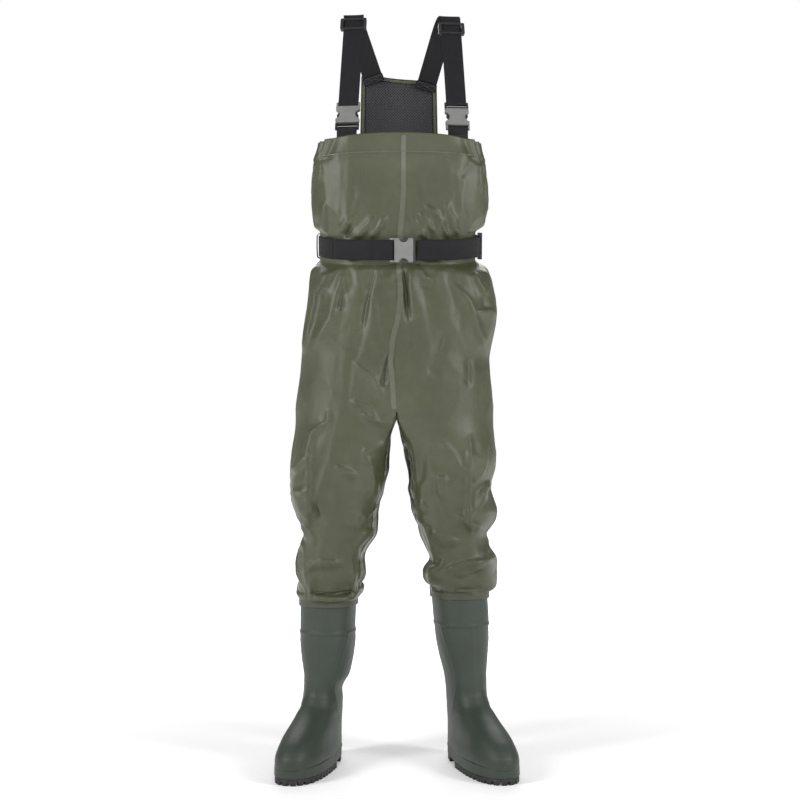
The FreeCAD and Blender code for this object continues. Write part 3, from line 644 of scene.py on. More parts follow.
# Creases of the back, plainer than the front: the same numbers
BACK_CREASES = [
    (0.006, 0.008, [(-0.120, 0.990), (-0.060, 0.955), (0.000, 0.945), (0.070, 0.960)]),
    (0.006, 0.008, [(0.130, 0.985), (0.080, 0.940), (0.030, 0.905)]),
    (0.005, 0.008, [(-0.150, 0.930), (-0.090, 0.900), (-0.050, 0.850)]),
    (0.007, 0.009, [(-0.150, 0.800), (-0.080, 0.770), (-0.020, 0.740)]),
    (0.007, 0.009, [(0.150, 0.810), (0.080, 0.770), (0.020, 0.735)]),
    (0.006, 0.008, [(-0.170, 0.560), (-0.120, 0.545), (-0.070, 0.560)]),
    (0.006, 0.008, [(-0.175, 0.520), (-0.120, 0.505), (-0.065, 0.515)]),
    (0.006, 0.008, [(0.060, 0.560), (0.110, 0.540), (0.165, 0.555)]),
    (0.006, 0.008, [(0.050, 0.515), (0.110, 0.500), (0.170, 0.520)]),
    (0.006, 0.007, [(-0.175, 0.400), (-0.140, 0.385), (-0.095, 0.400)]),
    (0.006, 0.007, [(0.075, 0.405), (0.115, 0.385), (0.170, 0.400)]),
    (0.004, 0.006, [(-0.080, 1.090), (-0.060, 1.120), (-0.050, 1.160)]),
    (0.004, 0.006, [(0.060, 1.085), (0.050, 1.120), (0.052, 1.150)]),
]


def distance_to_path(points, path):
    """Distance of each x, z pair to a path, and how far along it the nearest place is."""
    path = np.asarray(path, float)
    steps = np.hypot(*np.diff(path, axis=0).T)
    reached = np.concatenate([[0], np.cumsum(steps)])
    best = np.full(len(points), 1e9)
    place_at = np.zeros(len(points))
    for k, step in enumerate(steps):
        a, b = path[k], path[k + 1]
        t = share(((points - a) @ (b - a)) / step ** 2)
        gap = np.linalg.norm(points - (a + t[:, None] * (b - a)), axis=1)
        closer = gap < best
        best[closer] = gap[closer]
        place_at[closer] = (reached[k] + t[closer] * step) / reached[-1]
    return best, place_at


def crease(points, normals, creases, facing, gain=CREASE_GAIN, narrow=1.0):
    """Raises the creases on the side of the garment that faces the given way (-1 front)."""
    moved_by = np.zeros(len(points))
    facing_weight = share(facing * normals[:, 1] * 3.0 + 0.35)
    for height, width, path in creases:
        gap, along = distance_to_path(points[:, [0, 2]], path)
        taper = share(np.minimum(along, 1.0 - along) * 5.0 + 0.25)
        crest = np.exp(-(gap / (width * narrow)) ** 1.15)
        moved_by += gain * height * crest * taper * facing_weight
    return points + normals * moved_by[:, None]


def belt_height(points):
    """Height of the tilted belt's middle at each point."""
    return BELT_CENTRE.z + math.tan(BELT_TILT) * (points[:, 1] - BODY_Y)


def gather_at_belt(points, normals):
    """Folds fan out below the belt and pinch to thin crests above it."""
    turn = np.arctan2(points[:, 0], BODY_Y - points[:, 1])
    wander = np.array([noise.noise(Vector((2.2 * math.cos(a), 2.2 * math.sin(a), 2.5 * z)))
                       for a, z in zip(turn, points[:, 2])])
    strong = np.array([noise.noise(Vector((3.1 * math.cos(a) + 7.0, 3.1 * math.sin(a), 4.0)))
                       for a in turn])
    folds = np.abs(np.sin(0.5 * GATHER_FOLDS * turn + 2.4 * wander))
    belt_z = belt_height(points)
    below = belt_z - BELT_HALF - points[:, 2]
    above = points[:, 2] - belt_z - BELT_HALF
    fan = share(below / 0.030) * np.exp(-np.clip(below, 0.0, None) / 0.085)
    pinch = share(above / 0.015) * np.exp(-np.clip(above, 0.0, None) / 0.030)
    height = 0.0115 * fan * folds ** 0.8 + 0.0085 * pinch * (1.0 - folds) ** 2
    height *= 0.75 + 0.9 * strong
    return points + normals * height[:, None]


def stack_above_boots(points, normals):
    """The leg settles into uneven rolls between the knee and the boot."""
    side = np.where(points[:, 0] < 0.0, -1.0, 1.0)
    middle = np.where(points[:, 0] < 0.0, -0.136, 0.118)
    turn = np.arctan2(points[:, 0] - middle, BODY_Y - points[:, 1])
    phase = 2.0 * math.pi * points[:, 2] / 0.072 + 1.4 * np.sin(turn + side) + side
    phase += 0.9 * np.sin(3.0 * turn + 11.0 * points[:, 2])
    rolls = np.abs(np.sin(0.5 * phase)) ** 0.8
    low = share((0.56 - points[:, 2]) / 0.08) * share((points[:, 2] - 0.345) / 0.02)
    behind = 0.55 + 0.45 * np.clip(normals[:, 1], -1.0, 1.0)
    return points + normals * (0.0072 * (rolls - 0.5) * low * behind)[:, None]


def crumple(points, normals):
    """Irregular crests all over, strongest by the belt, at the knees and above the boots."""
    belt = bell(points[:, 2] - BELT_CENTRE.z, 0.075)
    knees = share((0.68 - points[:, 2]) / 0.10)
    amount = 0.30 + 0.75 * belt + 0.70 * knees
    amount *= share((1.235 - points[:, 2]) / 0.05)
    amount *= share((points[:, 2] - 0.335) / 0.02)
    height = np.empty(len(points))
    for index, (x, y, z) in enumerate(points):
        drift = noise.noise(Vector((7.0 * x, 7.0 * y, 5.0 * z + 3.0)))
        place_in = Vector((13.0 * x + 1.6 * drift, 13.0 * y + 4.0, 8.0 * z + 1.6 * drift))
        gaps = noise.voronoi(place_in)[0]
        net = math.exp(-(gaps[1] - gaps[0]) / 0.16)
        swell = noise.noise(Vector((11.0 * x + 9.0, 11.0 * y, 4.5 * z + drift)))
        height[index] = 0.0062 * net + 0.0075 * swell
    return points + normals * (height * amount)[:, None]


def wander_seam(points):
    """The front seam strays to either side of the middle, carrying the cloth with it."""
    shift = np.interp(points[:, 2], *zip(*SEAM_WANDER))
    near = bell(points[:, 0], SEAM_WANDER_REACH)
    front = share((BODY_Y - points[:, 1]) / 0.03)
    points[:, 0] += shift * near * front
    return points


def tilt_to_belt(points):
    """The waist follows the belt, which sits lower in front than at the back."""
    near = bell(points[:, 2] - BELT_CENTRE.z, 0.065)
    shift = math.tan(BELT_TILT) * (points[:, 1] - BODY_Y) * near
    points[:, 2] += np.where(points[:, 2] > CROTCH_Z, shift, 0.0)
    return points


def arch_the_hem(points):
    """The bib's top edge is highest at the middle of the front and back."""
    near = share((points[:, 2] - ARCH_FROM) / (BIB_TOP - ARCH_FROM))
    points[:, 2] -= HEM_ARCH * near * share(np.abs(points[:, 0]) / HEM_HALF) ** 2
    return points


def soften_folds(obj):
    """Lets the fabric buckle: it's a little too long for its shape and held where it's tied."""
    points = get_points(obj)
    z = points[:, 2]
    belt_z = belt_height(points)
    hold = np.full(len(points), 0.12)
    hold = np.maximum(hold, np.exp(-((z - belt_z) / 0.014) ** 4))
    hold = np.maximum(hold, share((z - 1.150) / 0.060))
    hold = np.maximum(hold, share((0.344 - z) / 0.008))
    slack = np.full(len(points), 0.45)
    slack += 0.55 * bell(z - belt_z, 0.08)
    slack += 0.55 * share((0.62 - z) / 0.15)
    slack[z > 1.12] = 0.15
    slack = share(slack)
    for name, weights in (("held", hold), ("slack", slack)):
        group = obj.vertex_groups.new(name=name)
        for index, weight in enumerate(weights):
            group.add([index], float(weight), "REPLACE")
    mod = obj.modifiers.new("drape", "CLOTH")
    settings = mod.settings
    settings.quality = 6
    settings.mass = 0.2
    settings.tension_stiffness = 30.0
    settings.compression_stiffness = 30.0
    settings.shear_stiffness = 12.0
    settings.bending_stiffness = 0.25
    settings.air_damping = 3.0
    settings.vertex_group_mass = "held"
    settings.pin_stiffness = 1.0
    settings.vertex_group_shrink = "slack"
    settings.shrink_min = 0.0
    settings.shrink_max = -0.13
    settings.effector_weights.gravity = 0.12
    mod.collision_settings.use_collision = False
    mod.point_cache.frame_start = 1
    mod.point_cache.frame_end = DRAPE_FRAMES
    for frame_number in range(1, DRAPE_FRAMES + 1):
        bpy.context.scene.frame_set(frame_number)
    bake_modifiers(obj)
    obj.vertex_groups.clear()
    return obj


def gather_sides(obj):
    """Fine pleats where the elastic draws in the sides of the bib, and the hem's weld line."""
    points = get_points(obj)
    normals = get_normals(obj)
    outward = points[:, :2] - np.array([0.0, BODY_Y])
    angle = np.arctan2(outward[:, 1], outward[:, 0])
    at_side = share((np.abs(np.cos(angle)) - 0.74) / 0.10)
    high = share((points[:, 2] - 1.196) / 0.022)
    along = points[:, 1] + 0.35 * np.abs(np.abs(points[:, 0]) - 0.16)
    pleat = np.sin(2.0 * math.pi * along / 0.0125 + 0.9 * np.sin(along * 90.0))
    lift = 0.0034 * at_side * high * pleat
    drop = HEM_ARCH * share(np.abs(points[:, 0]) / HEM_HALF) ** 2 * 0.4
    weld = points[:, 2] - HEM_WELD_Z + drop
    lift += 0.0009 * bell(weld, 0.0022) - 0.0007 * bell(weld + 0.005, 0.003)
    set_points(obj, points + normals * lift[:, None])
    return obj


# ---- strips, webbing and stitches -----------------------------------------------------

def travelled(points):
    """Distance along a path at each of its points."""
    return np.concatenate([[0.0], np.cumsum(np.linalg.norm(np.diff(points, axis=0), axis=1))])


def frames_along(centres, across):
    """Unit side and outward directions at each centre of a strip."""
    centres = np.asarray(centres, float)
    across = np.asarray(across, float)
    if across.ndim == 1:
        across = np.tile(across, (len(centres), 1))
    along = np.gradient(centres, axis=0)
    along /= np.linalg.norm(along, axis=1)[:, None]
    side = across - along * np.sum(across * along, axis=1)[:, None]
    side /= np.linalg.norm(side, axis=1)[:, None]
    out = np.cross(side, along)
    return centres, side, out


def strip(name, centres, across, width, thickness, material, columns=8, closed=False):
    """A flat woven or welded strip with rounded edges; UV runs in metres along and across."""
    centres, side, out = frames_along(centres, across)
    reach = np.linspace(-0.5, 0.5, columns + 1)
    half = 0.5 * thickness
    profile = [(width * r, half) for r in reach] + [(width * r, -half) for r in reach[::-1]]
    profile[0] = (-0.5 * width + half, half)
    profile[columns] = (0.5 * width - half, half)
    profile[columns + 1] = (0.5 * width - half, -half)
    profile[-1] = (-0.5 * width + half, -half)
    profile.insert(columns + 1, (0.5 * width, 0.0))
    profile.append((-0.5 * width, 0.0))
    profile = np.array(profile)
    count = len(profile)
    verts = []
    for c, s, o in zip(centres, side, out):
        verts.extend(c + profile[:, :1] * s + profile[:, 1:] * o)
    faces = []
    runs = len(centres) if closed else len(centres) - 1
    for r in range(runs):
        a, b = r * count, ((r + 1) % len(centres)) * count
        for k in range(count):
            n = (k + 1) % count
            faces.append((a + k, a + n, b + n, b + k))
    if not closed:
        faces.append(tuple(range(count))[::-1])
        last = (len(centres) - 1) * count
        faces.append(tuple(range(last, last + count)))
    obj = mesh_object(name, verts, faces, material)
    reached = travelled(centres)
    layer = obj.data.uv_layers.new(name="run")
    for loop in obj.data.loops:
        row, k = divmod(loop.vertex_index, count)
        layer.data[loop.index].uv = (reached[row], profile[k, 0])
    return obj


def resample(points, step):
    """The same path with evenly spaced points."""
    points = np.asarray(points, float)
    reached = travelled(points)
    wanted = np.linspace(0.0, reached[-1], max(2, int(round(reached[-1] / step)) + 1))
    return np.column_stack([np.interp(wanted, reached, points[:, k]) for k in range(3)])


def stitches(name, paths, lift, body, slot):
    """Rows of thread along paths; each path is points and the outward direction."""
    verts = []
    faces = []
    for points, out in paths:
        points = np.asarray(points, float)
        reached = travelled(points)
        out = np.asarray(out, float)
        if out.ndim == 1:
            out = np.tile(out, (len(points), 1))
        for middle in np.arange(0.5 * STITCH_PITCH, reached[-1], STITCH_PITCH):
            ends = []
            for at in (middle - 0.5 * STITCH_LENGTH, middle + 0.5 * STITCH_LENGTH):
                ends.append(np.array([np.interp(at, reached, points[:, k]) for k in range(3)]))
            up = np.array([np.interp(middle, reached, out[:, k]) for k in range(3)])
            up /= np.linalg.norm(up)
            along = ends[1] - ends[0]
            along /= max(np.linalg.norm(along), 1e-9)
            side = np.cross(up, along)
            base = len(verts)
            for end, rise in ((ends[0], 0.3), ((ends[0] + ends[1]) / 2, 1.0), (ends[1], 0.3)):
                top = end + up * (lift + THREAD_SIZE * rise)
                verts += [top - side * THREAD_SIZE * 0.7, top + up * THREAD_SIZE * 0.3,
                          top + side * THREAD_SIZE * 0.7]
            for r in range(2):
                for k in range(2):
                    a = base + r * 3 + k
                    faces.append((a, a + 1, a + 4, a + 3))
    obj = mesh_object(name, verts, faces, THREAD)
    return place(obj, body, slot)


def seam_tape(name, obj, left, centre, right, half_width, replaced):
    """A tape welded over a seam: it follows three columns of the fabric's vertices."""
    points = get_points(obj)
    normals = get_normals(obj)
    middle = points[centre] + normals[centre] * TAPE_LIFT
    across = points[right] - points[left]
    tape = strip(name, middle, across, 2.0 * half_width, TAPE_T, TAPE, 6)
    return place(subdivide(tape), ROOT, "seam_fabric", replaced)


# ---- shoulder straps ------------------------------------------------------------------

STRAP_ORIGIN = {"right": (-0.102, -0.045, 1.279), "left": (0.114, -0.028, 1.310)}
STRAP_LEAN = math.radians(20.0)
STRAP_YAW = math.radians(8.0)
STRAP_TOP = {"right": 0.241, "left": 0.206}
SLIDER_AT = {"right": 0.225, "left": 0.183}
SOCKET_BAR = 0.0432
PLUG_BAR = 0.0115
STRAP_BAR = {"right": SOCKET_BAR, "left": PLUG_BAR}
TAB_BAR = {"right": -PLUG_BAR, "left": -SOCKET_BAR}
LAYER = 0.0028
ARCH_REAR = {"right": (-0.084, 0.084, 1.484), "left": (0.086, 0.084, 1.482)}
ARCH_CREST = {"right": (-0.097, 0.060, 1.526), "left": (0.099, 0.060, 1.524)}
YOKE_CORNER = {"right": (-0.055, 0.101, 1.402), "left": (0.058, 0.101, 1.388)}


def strap_frame(side):
    yaw = Matrix.Rotation(SIDES[side] * STRAP_YAW, 4, "Z")
    lean = Matrix.Rotation(-STRAP_LEAN, 4, "X")
    return Matrix.Translation(STRAP_ORIGIN[side]) @ yaw @ lean


def in_frame(matrix, points):
    return np.array([matrix @ Vector(p) for p in points])


def direction(matrix, vector):
    return np.array(matrix.to_3x3() @ Vector(vector))


def turn_round(bar, sign, reach=0.0045):
    """Centres of webbing that comes down the front of a bar, round it and up behind it."""
    angles = np.linspace(-math.pi / 2, math.pi / 2, 11)
    loop = [(0.0, LAYER * math.sin(a), bar - sign * (0.0009 + LAYER * math.cos(a)))
            for a in angles]
    return [(0.0, -LAYER, bar + sign * reach)] + loop + [(0.0, LAYER, bar + sign * reach)]


def build_strap(side):
    """A strap's front run and the layer behind it, which the slider takes up."""
    matrix = strap_frame(side)
    top = STRAP_TOP[side]
    bar = STRAP_BAR[side]
    body = side + "_strap_top"
    across = direction(matrix, (1.0, 0.0, 0.0))

    front = [(0.0, -LAYER, z) for z in np.linspace(top, bar + 0.006, 40)]
    path = in_frame(matrix, front + turn_round(bar, 1, 0.003))
    run = strip(side + "_strap_front", path, -across, WEB, WEB_T, WEBBING, 10)
    place(run, body, "webbing", side + "_strap_front_run")

    behind = [(0.0, LAYER, z) for z in np.linspace(bar + 0.003, SLIDER_AT[side] + 0.0025, 36)]
    back = strip(side + "_strap_return", in_frame(matrix, behind), across, WEB * 0.985, WEB_T,
                 WEBBING, 10)
    place(back, body, "webbing", side + "_strap_return_layer")
    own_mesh(back)
    build_arch(side, matrix, across)
    build_anchor(side)


def build_arch(side, matrix, across):
    """The strap over the shoulder and down the back to the yoke's corner."""
    top = STRAP_TOP[side]
    lead = np.array(matrix @ Vector((0.0, -LAYER, top + 0.0033)))
    rear = np.array(ARCH_REAR[side])
    crest = np.array(ARCH_CREST[side])
    corner = np.array(YOKE_CORNER[side])
    t = np.linspace(0.0, 1.0, 36)[:, None]
    over = lead * (1 - t) ** 2 + crest * 2 * t * (1 - t) + rear * t ** 2
    start = np.array(matrix @ Vector((0.0, -LAYER, top)))
    down = rear + (corner - rear) * np.linspace(0.04, 1.0, 26)[:, None]
    centres = np.vstack([start, over, down])
    level = np.array((1.0, 0.0, 0.0))
    blend_side = share(np.arange(len(centres)) / 36.0)[:, None]
    sides = across * (1 - blend_side) + level * blend_side
    arch = strip(side + "_strap_over_shoulder", centres, -sides, WEB, WEB_T, WEBBING, 10)
    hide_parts(side + "_strap_shoulder_arch", side + "_strap_back_run")
    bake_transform(arch)


def build_anchor(side):
    """The patch that sews a strap to the yoke's corner, with a stitched box and cross."""
    rear = np.array(ARCH_REAR[side])
    corner = np.array(YOKE_CORNER[side])
    level = np.array((1.0, 0.0, 0.0))
    fall = (corner - rear) / np.linalg.norm(corner - rear)
    end = corner + fall * 0.0145
    pad = strip(side + "_strap_anchor_patch", [corner, corner + fall * 0.007, end],
                -level, WEB + 0.003, 0.003, WEBBING, 10)
    place(pad, ROOT, "webbing", side + "_strap_anchor")
    flat = level - fall * fall[0]
    flat /= np.linalg.norm(flat)
    out = np.cross(flat, fall)
    out *= math.copysign(1.0, -out[1])
    a, b = corner + fall * 0.002, corner + fall * 0.0125
    reach = flat * 0.018
    corners = [a - reach, a + reach, b + reach, b - reach, a - reach]
    for facing, word in ((out, "front"), (-out, "back")):
        paths = [(np.array(corners), facing), (np.array([corners[0], corners[2]]), facing),
                 (np.array([corners[1], corners[3]]), facing)]
        stitches(side + "_anchor_stitches_" + word, paths, 0.0015, ROOT, "webbing")


def build_tab(side):
    """The loop of webbing from the lower buckle half down to the bib's hem."""
    matrix = strap_frame(side)
    bar = TAB_BAR[side]
    across = direction(matrix, (1.0, 0.0, 0.0))
    drop = Vector((0.0, 0.0, -1.0))
    foot = matrix @ Vector((0.0, 0.0, bar - 0.0075))
    loop = in_frame(matrix, turn_round(bar, -1, 0.0)[1:-1])
    join = np.array([matrix @ Vector((0.0, y, bar - 0.0045)) for y in (-0.0017, 0.0017)])
    down = [np.array(foot + drop * d) for d in np.linspace(0.0, 0.0365, 12)]
    inner_down = [p + np.array((0.0, 0.0017, 0.0)) for p in down[::-1]]
    outer_down = [p - np.array((0.0, 0.0001, 0.0)) for p in down]
    path = inner_down + [join[1]] + list(loop[::-1]) + [join[0]] + outer_down
    tab = strip(side + "_tab_webbing", path, across, WEB, WEB_T, WEBBING, 10)
    place(tab, ROOT, "webbing", side + "_bib_tab")
    x, y = 0.0165, -0.0001
    base = Matrix.Translation(foot) @ Matrix.Rotation(SIDES[side] * STRAP_YAW, 4, "Z")
    out = direction(base, (0.0, -1.0, 0.0))
    paths = [(in_frame(base, [(-x, y, z), (x, y, z)]), out) for z in (-0.030, -0.008)]
    stitches(side + "_tab_stitches", paths, 0.0009, ROOT, "webbing")


# ---- belt -----------------------------------------------------------------------------

BELT_MATRIX = Matrix.Translation(BELT_CENTRE) @ Matrix.Rotation(BELT_TILT, 4, "X")
BELT_QUARTER = BELT_RADIUS * math.pi / 2
BELT_LENGTH = 4.0 * BELT_STRAIGHT + 4.0 * BELT_QUARTER
BELT_MEETING_X = 0.027
BELT_INSET = 0.0009
RETURN_INSET = 0.0065
MALE_END_X = BELT_MEETING_X + PLUG_BAR
FEMALE_END_X = BELT_MEETING_X - SOCKET_BAR
SLACK_X = (-0.130, -0.053)


def belt_point(travel, inset=BELT_INSET):
    """Place on the belt, travel metres from the front middle towards the wearer's left."""
    radius = BELT_RADIUS - inset
    s = travel % BELT_LENGTH
    if s < BELT_STRAIGHT:
        return (s, -radius, 0.0)
    s -= BELT_STRAIGHT
    if s < 2.0 * BELT_QUARTER:
        a = s / BELT_RADIUS - math.pi / 2
        return (BELT_STRAIGHT + radius * math.cos(a), radius * math.sin(a), 0.0)
    s -= 2.0 * BELT_QUARTER
    if s < 2.0 * BELT_STRAIGHT:
        return (BELT_STRAIGHT - s, radius, 0.0)
    s -= 2.0 * BELT_STRAIGHT
    if s < 2.0 * BELT_QUARTER:
        a = s / BELT_RADIUS + math.pi / 2
        return (-BELT_STRAIGHT + radius * math.cos(a), radius * math.sin(a), 0.0)
    s -= 2.0 * BELT_QUARTER
    return (s - BELT_STRAIGHT, -radius, 0.0)


def travel_at_front(x):
    """Travel along the belt of a place on its front, left or right of the middle."""
    if abs(x) <= BELT_STRAIGHT:
        return x
    angle = math.asin((abs(x) - BELT_STRAIGHT) / BELT_RADIUS)
    return math.copysign(BELT_STRAIGHT + BELT_RADIUS * angle, x)


def belt_piece(name, start, stop, body, replaced, inset=BELT_INSET, tail=None,
               lead=None):
    steps = max(6, int(abs(stop - start) / 0.006))
    points = [belt_point(t, inset) for t in np.linspace(start, stop, steps)]
    points = (lead or []) + points + (tail or [])
    path = in_frame(BELT_MATRIX, points)
    up = direction(BELT_MATRIX, (0.0, 0.0, 1.0))
    piece = strip(name, path, up, WEB, WEB_T, WEBBING, 10)
    return place(piece, body, "webbing", *replaced) if body else piece


def turn_round_belt_bar(x, sign):
    """Webbing of the belt round a buckle bar; sign is the way it leaves the bar along X."""
    middle = -BELT_RADIUS + 0.0037
    angles = np.linspace(-math.pi / 2, math.pi / 2, 11)
    loop = [(x - sign * (0.0009 + LAYER * math.cos(a)), middle + LAYER * math.sin(a), 0.0)
            for a in angles]
    return loop + [(x + sign * 0.010, middle + LAYER, 0.0)]


def build_belt():
    """The belt round the waist, with its slack by the buckle, and its three keepers."""
    male = travel_at_front(MALE_END_X)
    far = BELT_LENGTH + travel_at_front(SLACK_X[0])
    belt_piece("belt_webbing_main", male, far, ROOT, ["belt_main"],
               lead=turn_round_belt_bar(MALE_END_X, 1)[::-1])
    slack = belt_piece("belt_webbing_slack", travel_at_front(SLACK_X[0]),
                       travel_at_front(SLACK_X[1]), None, [])
    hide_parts("belt_slack")
    start = BELT_MATRIX @ Vector(belt_point(travel_at_front(SLACK_X[0])))
    end = BELT_MATRIX @ Vector(belt_point(travel_at_front(SLACK_X[1])))
    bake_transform(slack)
    belt_piece("belt_webbing_release_end", travel_at_front(SLACK_X[1]),
               travel_at_front(FEMALE_END_X), "belt_socket_end", ["belt_release_end"],
               tail=turn_round_belt_bar(FEMALE_END_X, -1))
    reach = travel_at_front(BELT_STRAIGHT) + BELT_QUARTER
    belt_piece("belt_webbing_return", male + 0.012, reach, ROOT, ["belt_return_layer"],
               inset=RETURN_INSET)
    for index, (angle, centre_x) in enumerate(((180.0, -BELT_STRAIGHT), (50.0, BELT_STRAIGHT),
                                               (90.0, 0.0))):
        belt_keeper(index, math.radians(angle), centre_x)


def belt_keeper(index, angle, centre_x):
    """A keeper of garment fabric whose ends turn in towards the garment above and below the belt."""
    outward = Vector((math.cos(angle), math.sin(angle), 0.0))
    middle = Vector((centre_x, 0.0, 0.0))
    tall = 0.5 * WEB + 0.0022
    radius = BELT_RADIUS + 0.0028
    points = []
    for z, r in ((-tall - 0.012, radius - 0.013), (-tall - 0.004, radius - 0.008),
                 (-tall - 0.0005, radius - 0.001), (-tall + 0.003, radius),
                 (0.0, radius + 0.0006), (tall - 0.003, radius), (tall + 0.0005, radius - 0.001),
                 (tall + 0.004, radius - 0.008), (tall + 0.012, radius - 0.013)):
        points.append(middle + outward * r + Vector((0.0, 0.0, z)))
    path = in_frame(BELT_MATRIX, points)
    tangent = direction(BELT_MATRIX, Vector((0.0, 0.0, 1.0)).cross(outward))
    loop = strip(f"belt_keeper_{index + 1}", resample(path, 0.002), tangent, 0.020, 0.0016,
                 FABRIC, 6)
    place(loop, ROOT, "coated_fabric", "belt_loops")


# ---- back yoke ------------------------------------------------------------------------

YOKE_BOTTOM = 1.222
YOKE_TOP = {"right": 1.407, "left": 1.391}
YOKE_HALF = (0.078, 0.0745)
YOKE_FORWARD = 0.006
YOKE_INSET = 0.94


def yoke_point(u, v):
    """Place on the middle of the yoke: u -1..1 right to left, v 0..1 upwards."""
    half = YOKE_HALF[0] * (1 - v) + YOKE_HALF[1] * v
    x = u * half
    top = 0.5 * (YOKE_TOP["right"] * (1 - u) + YOKE_TOP["left"] * (1 + u))
    top -= 0.004 * (1.0 - abs(u) ** 2)
    z = YOKE_BOTTOM + (top - YOKE_BOTTOM) * v
    sag = 0.0012 * math.sin(5.0 * u + 3.0 * v) * v
    return np.array((x, 0.1185 - 0.45 * x * x - YOKE_FORWARD * v + sag, z))


def yoke_sheet(name, push, material, slot, replaced):
    columns, rows = 36, 40
    verts = []
    faces = []
    for r in range(rows + 1):
        for c in range(columns + 1):
            u = YOKE_INSET * (2.0 * c / columns - 1.0)
            v = 0.01 + 0.96 * r / rows
            verts.append(yoke_point(u, v) + np.array((0.0, push, 0.0)))
    wide = columns + 1
    for r in range(rows):
        for c in range(columns):
            a = r * wide + c
            faces.append((a, a + 1, a + wide + 1, a + wide))
    sheet = mesh_object(name, verts, faces, material)
    layer = sheet.data.uv_layers.new(name="run")
    for loop in sheet.data.loops:
        x, _, z = sheet.data.vertices[loop.vertex_index].co
        layer.data[loop.index].uv = (x, z - YOKE_BOTTOM)
    thicken(sheet, 0.0014, 0.0)
    return place(sheet, ROOT, slot, *replaced)


def build_yoke():
    """The back panel between the straps, its air mesh and the binding round its edge."""
    yoke_sheet("yoke_air_mesh", -0.0012, MESH, "spacer_mesh", ["back_yoke_mesh"])
    yoke_sheet("yoke_back_panel", 0.0014, FABRIC, "coated_fabric", ["back_yoke_panel"])
    path = [yoke_point(-1.0, v) for v in np.linspace(0.0, 0.97, 30)]
    path += [yoke_point(-0.985, 0.99), yoke_point(-0.95, 1.0)]
    path += [yoke_point(u, 1.0) for u in np.linspace(-0.9, 0.9, 30)]
    path += [yoke_point(0.95, 1.0), yoke_point(0.985, 0.99)]
    path += [yoke_point(1.0, v) for v in np.linspace(0.97, 0.0, 30)]
    path = resample(path, 0.003)
    centres, _, out = frames_along(path, np.array((0.0, 1.0, 0.0)))
    edge = strip("yoke_edge_binding", centres + out * 0.002, -out, 0.011, 0.0056, BINDING, 8)
    place(edge, ROOT, "binding_fabric", "yoke_binding")
    for facing, word in ((-1.0, "front"), (1.0, "back")):
        line = centres + out * 0.0045
        stitches("yoke_binding_stitches_" + word, [(line, np.array((0.0, facing, 0.0)))],
                 0.0029, ROOT, "binding_fabric")


# ---- boots ----------------------------------------------------------------------------

BOOT_COLUMNS = 112
CALF_FULLNESS = 0.0085
RAND_TOP = 0.0315
RAND_LOW = {"forefoot": 0.0130, "heel": 0.0285}
RAND_OFFSET = 0.0048
RAND_T = 0.0016
RAND_TUCK = 0.0011
RAND_LEVELS = 7
TOE_TREAD_FROM = 0.045
TOE_TREAD_TOP = 0.0145
TOE_TREAD_OFFSET = 0.0038
TOE_TREAD_T = 0.010
TOE_TREAD_POINTS = 360
LUG_PITCH = 0.0165
LUG_SHARE = 0.66
LUG_DEPTH = 0.0065
RIDGE_Z = {"right": 0.266, "left": 0.282}


def boot_axes(side):
    sign = SIDES[side]
    splay = BOOT_SPLAY[side]
    ahead = np.array((sign * math.sin(splay), -math.cos(splay), 0.0))
    across = np.array((math.cos(splay), sign * math.sin(splay), 0.0))
    return ahead, across


def boot_ring(side, z, heel, toe, half, grow=0.0, count=BOOT_COLUMNS):
    """One level of a boot, and each point's place ahead of the ankle and across it."""
    sign = SIDES[side]
    ahead, across = boot_axes(side)
    centre = 0.5 * (toe - heel)
    length = 0.5 * (toe + heel)
    flare = 0.16 * share((0.10 - z) / 0.06)
    angles = np.linspace(0.0, 2.0 * math.pi, count, endpoint=False)
    s, c = np.sin(angles), np.cos(angles)
    reach = (np.abs(s) ** 2.3 + np.abs(c) ** 2.3) ** (-1.0 / 2.3)
    forward = centre + (length + grow) * c * reach
    wide = (half + grow) * s * reach * (1.0 + flare * (forward - centre) / length)
    lean = -sign * BOOT_LEAN[side] * share((z - BOOT_ANKLE_Z) / (BOOT_TOP - BOOT_ANKLE_Z))
    ankle = np.array((BOOT_ANKLE[side][0] + lean, BOOT_ANKLE[side][1], z))
    points = ankle + np.outer(forward, ahead) + np.outer(wide, across)
    return points, forward, wide


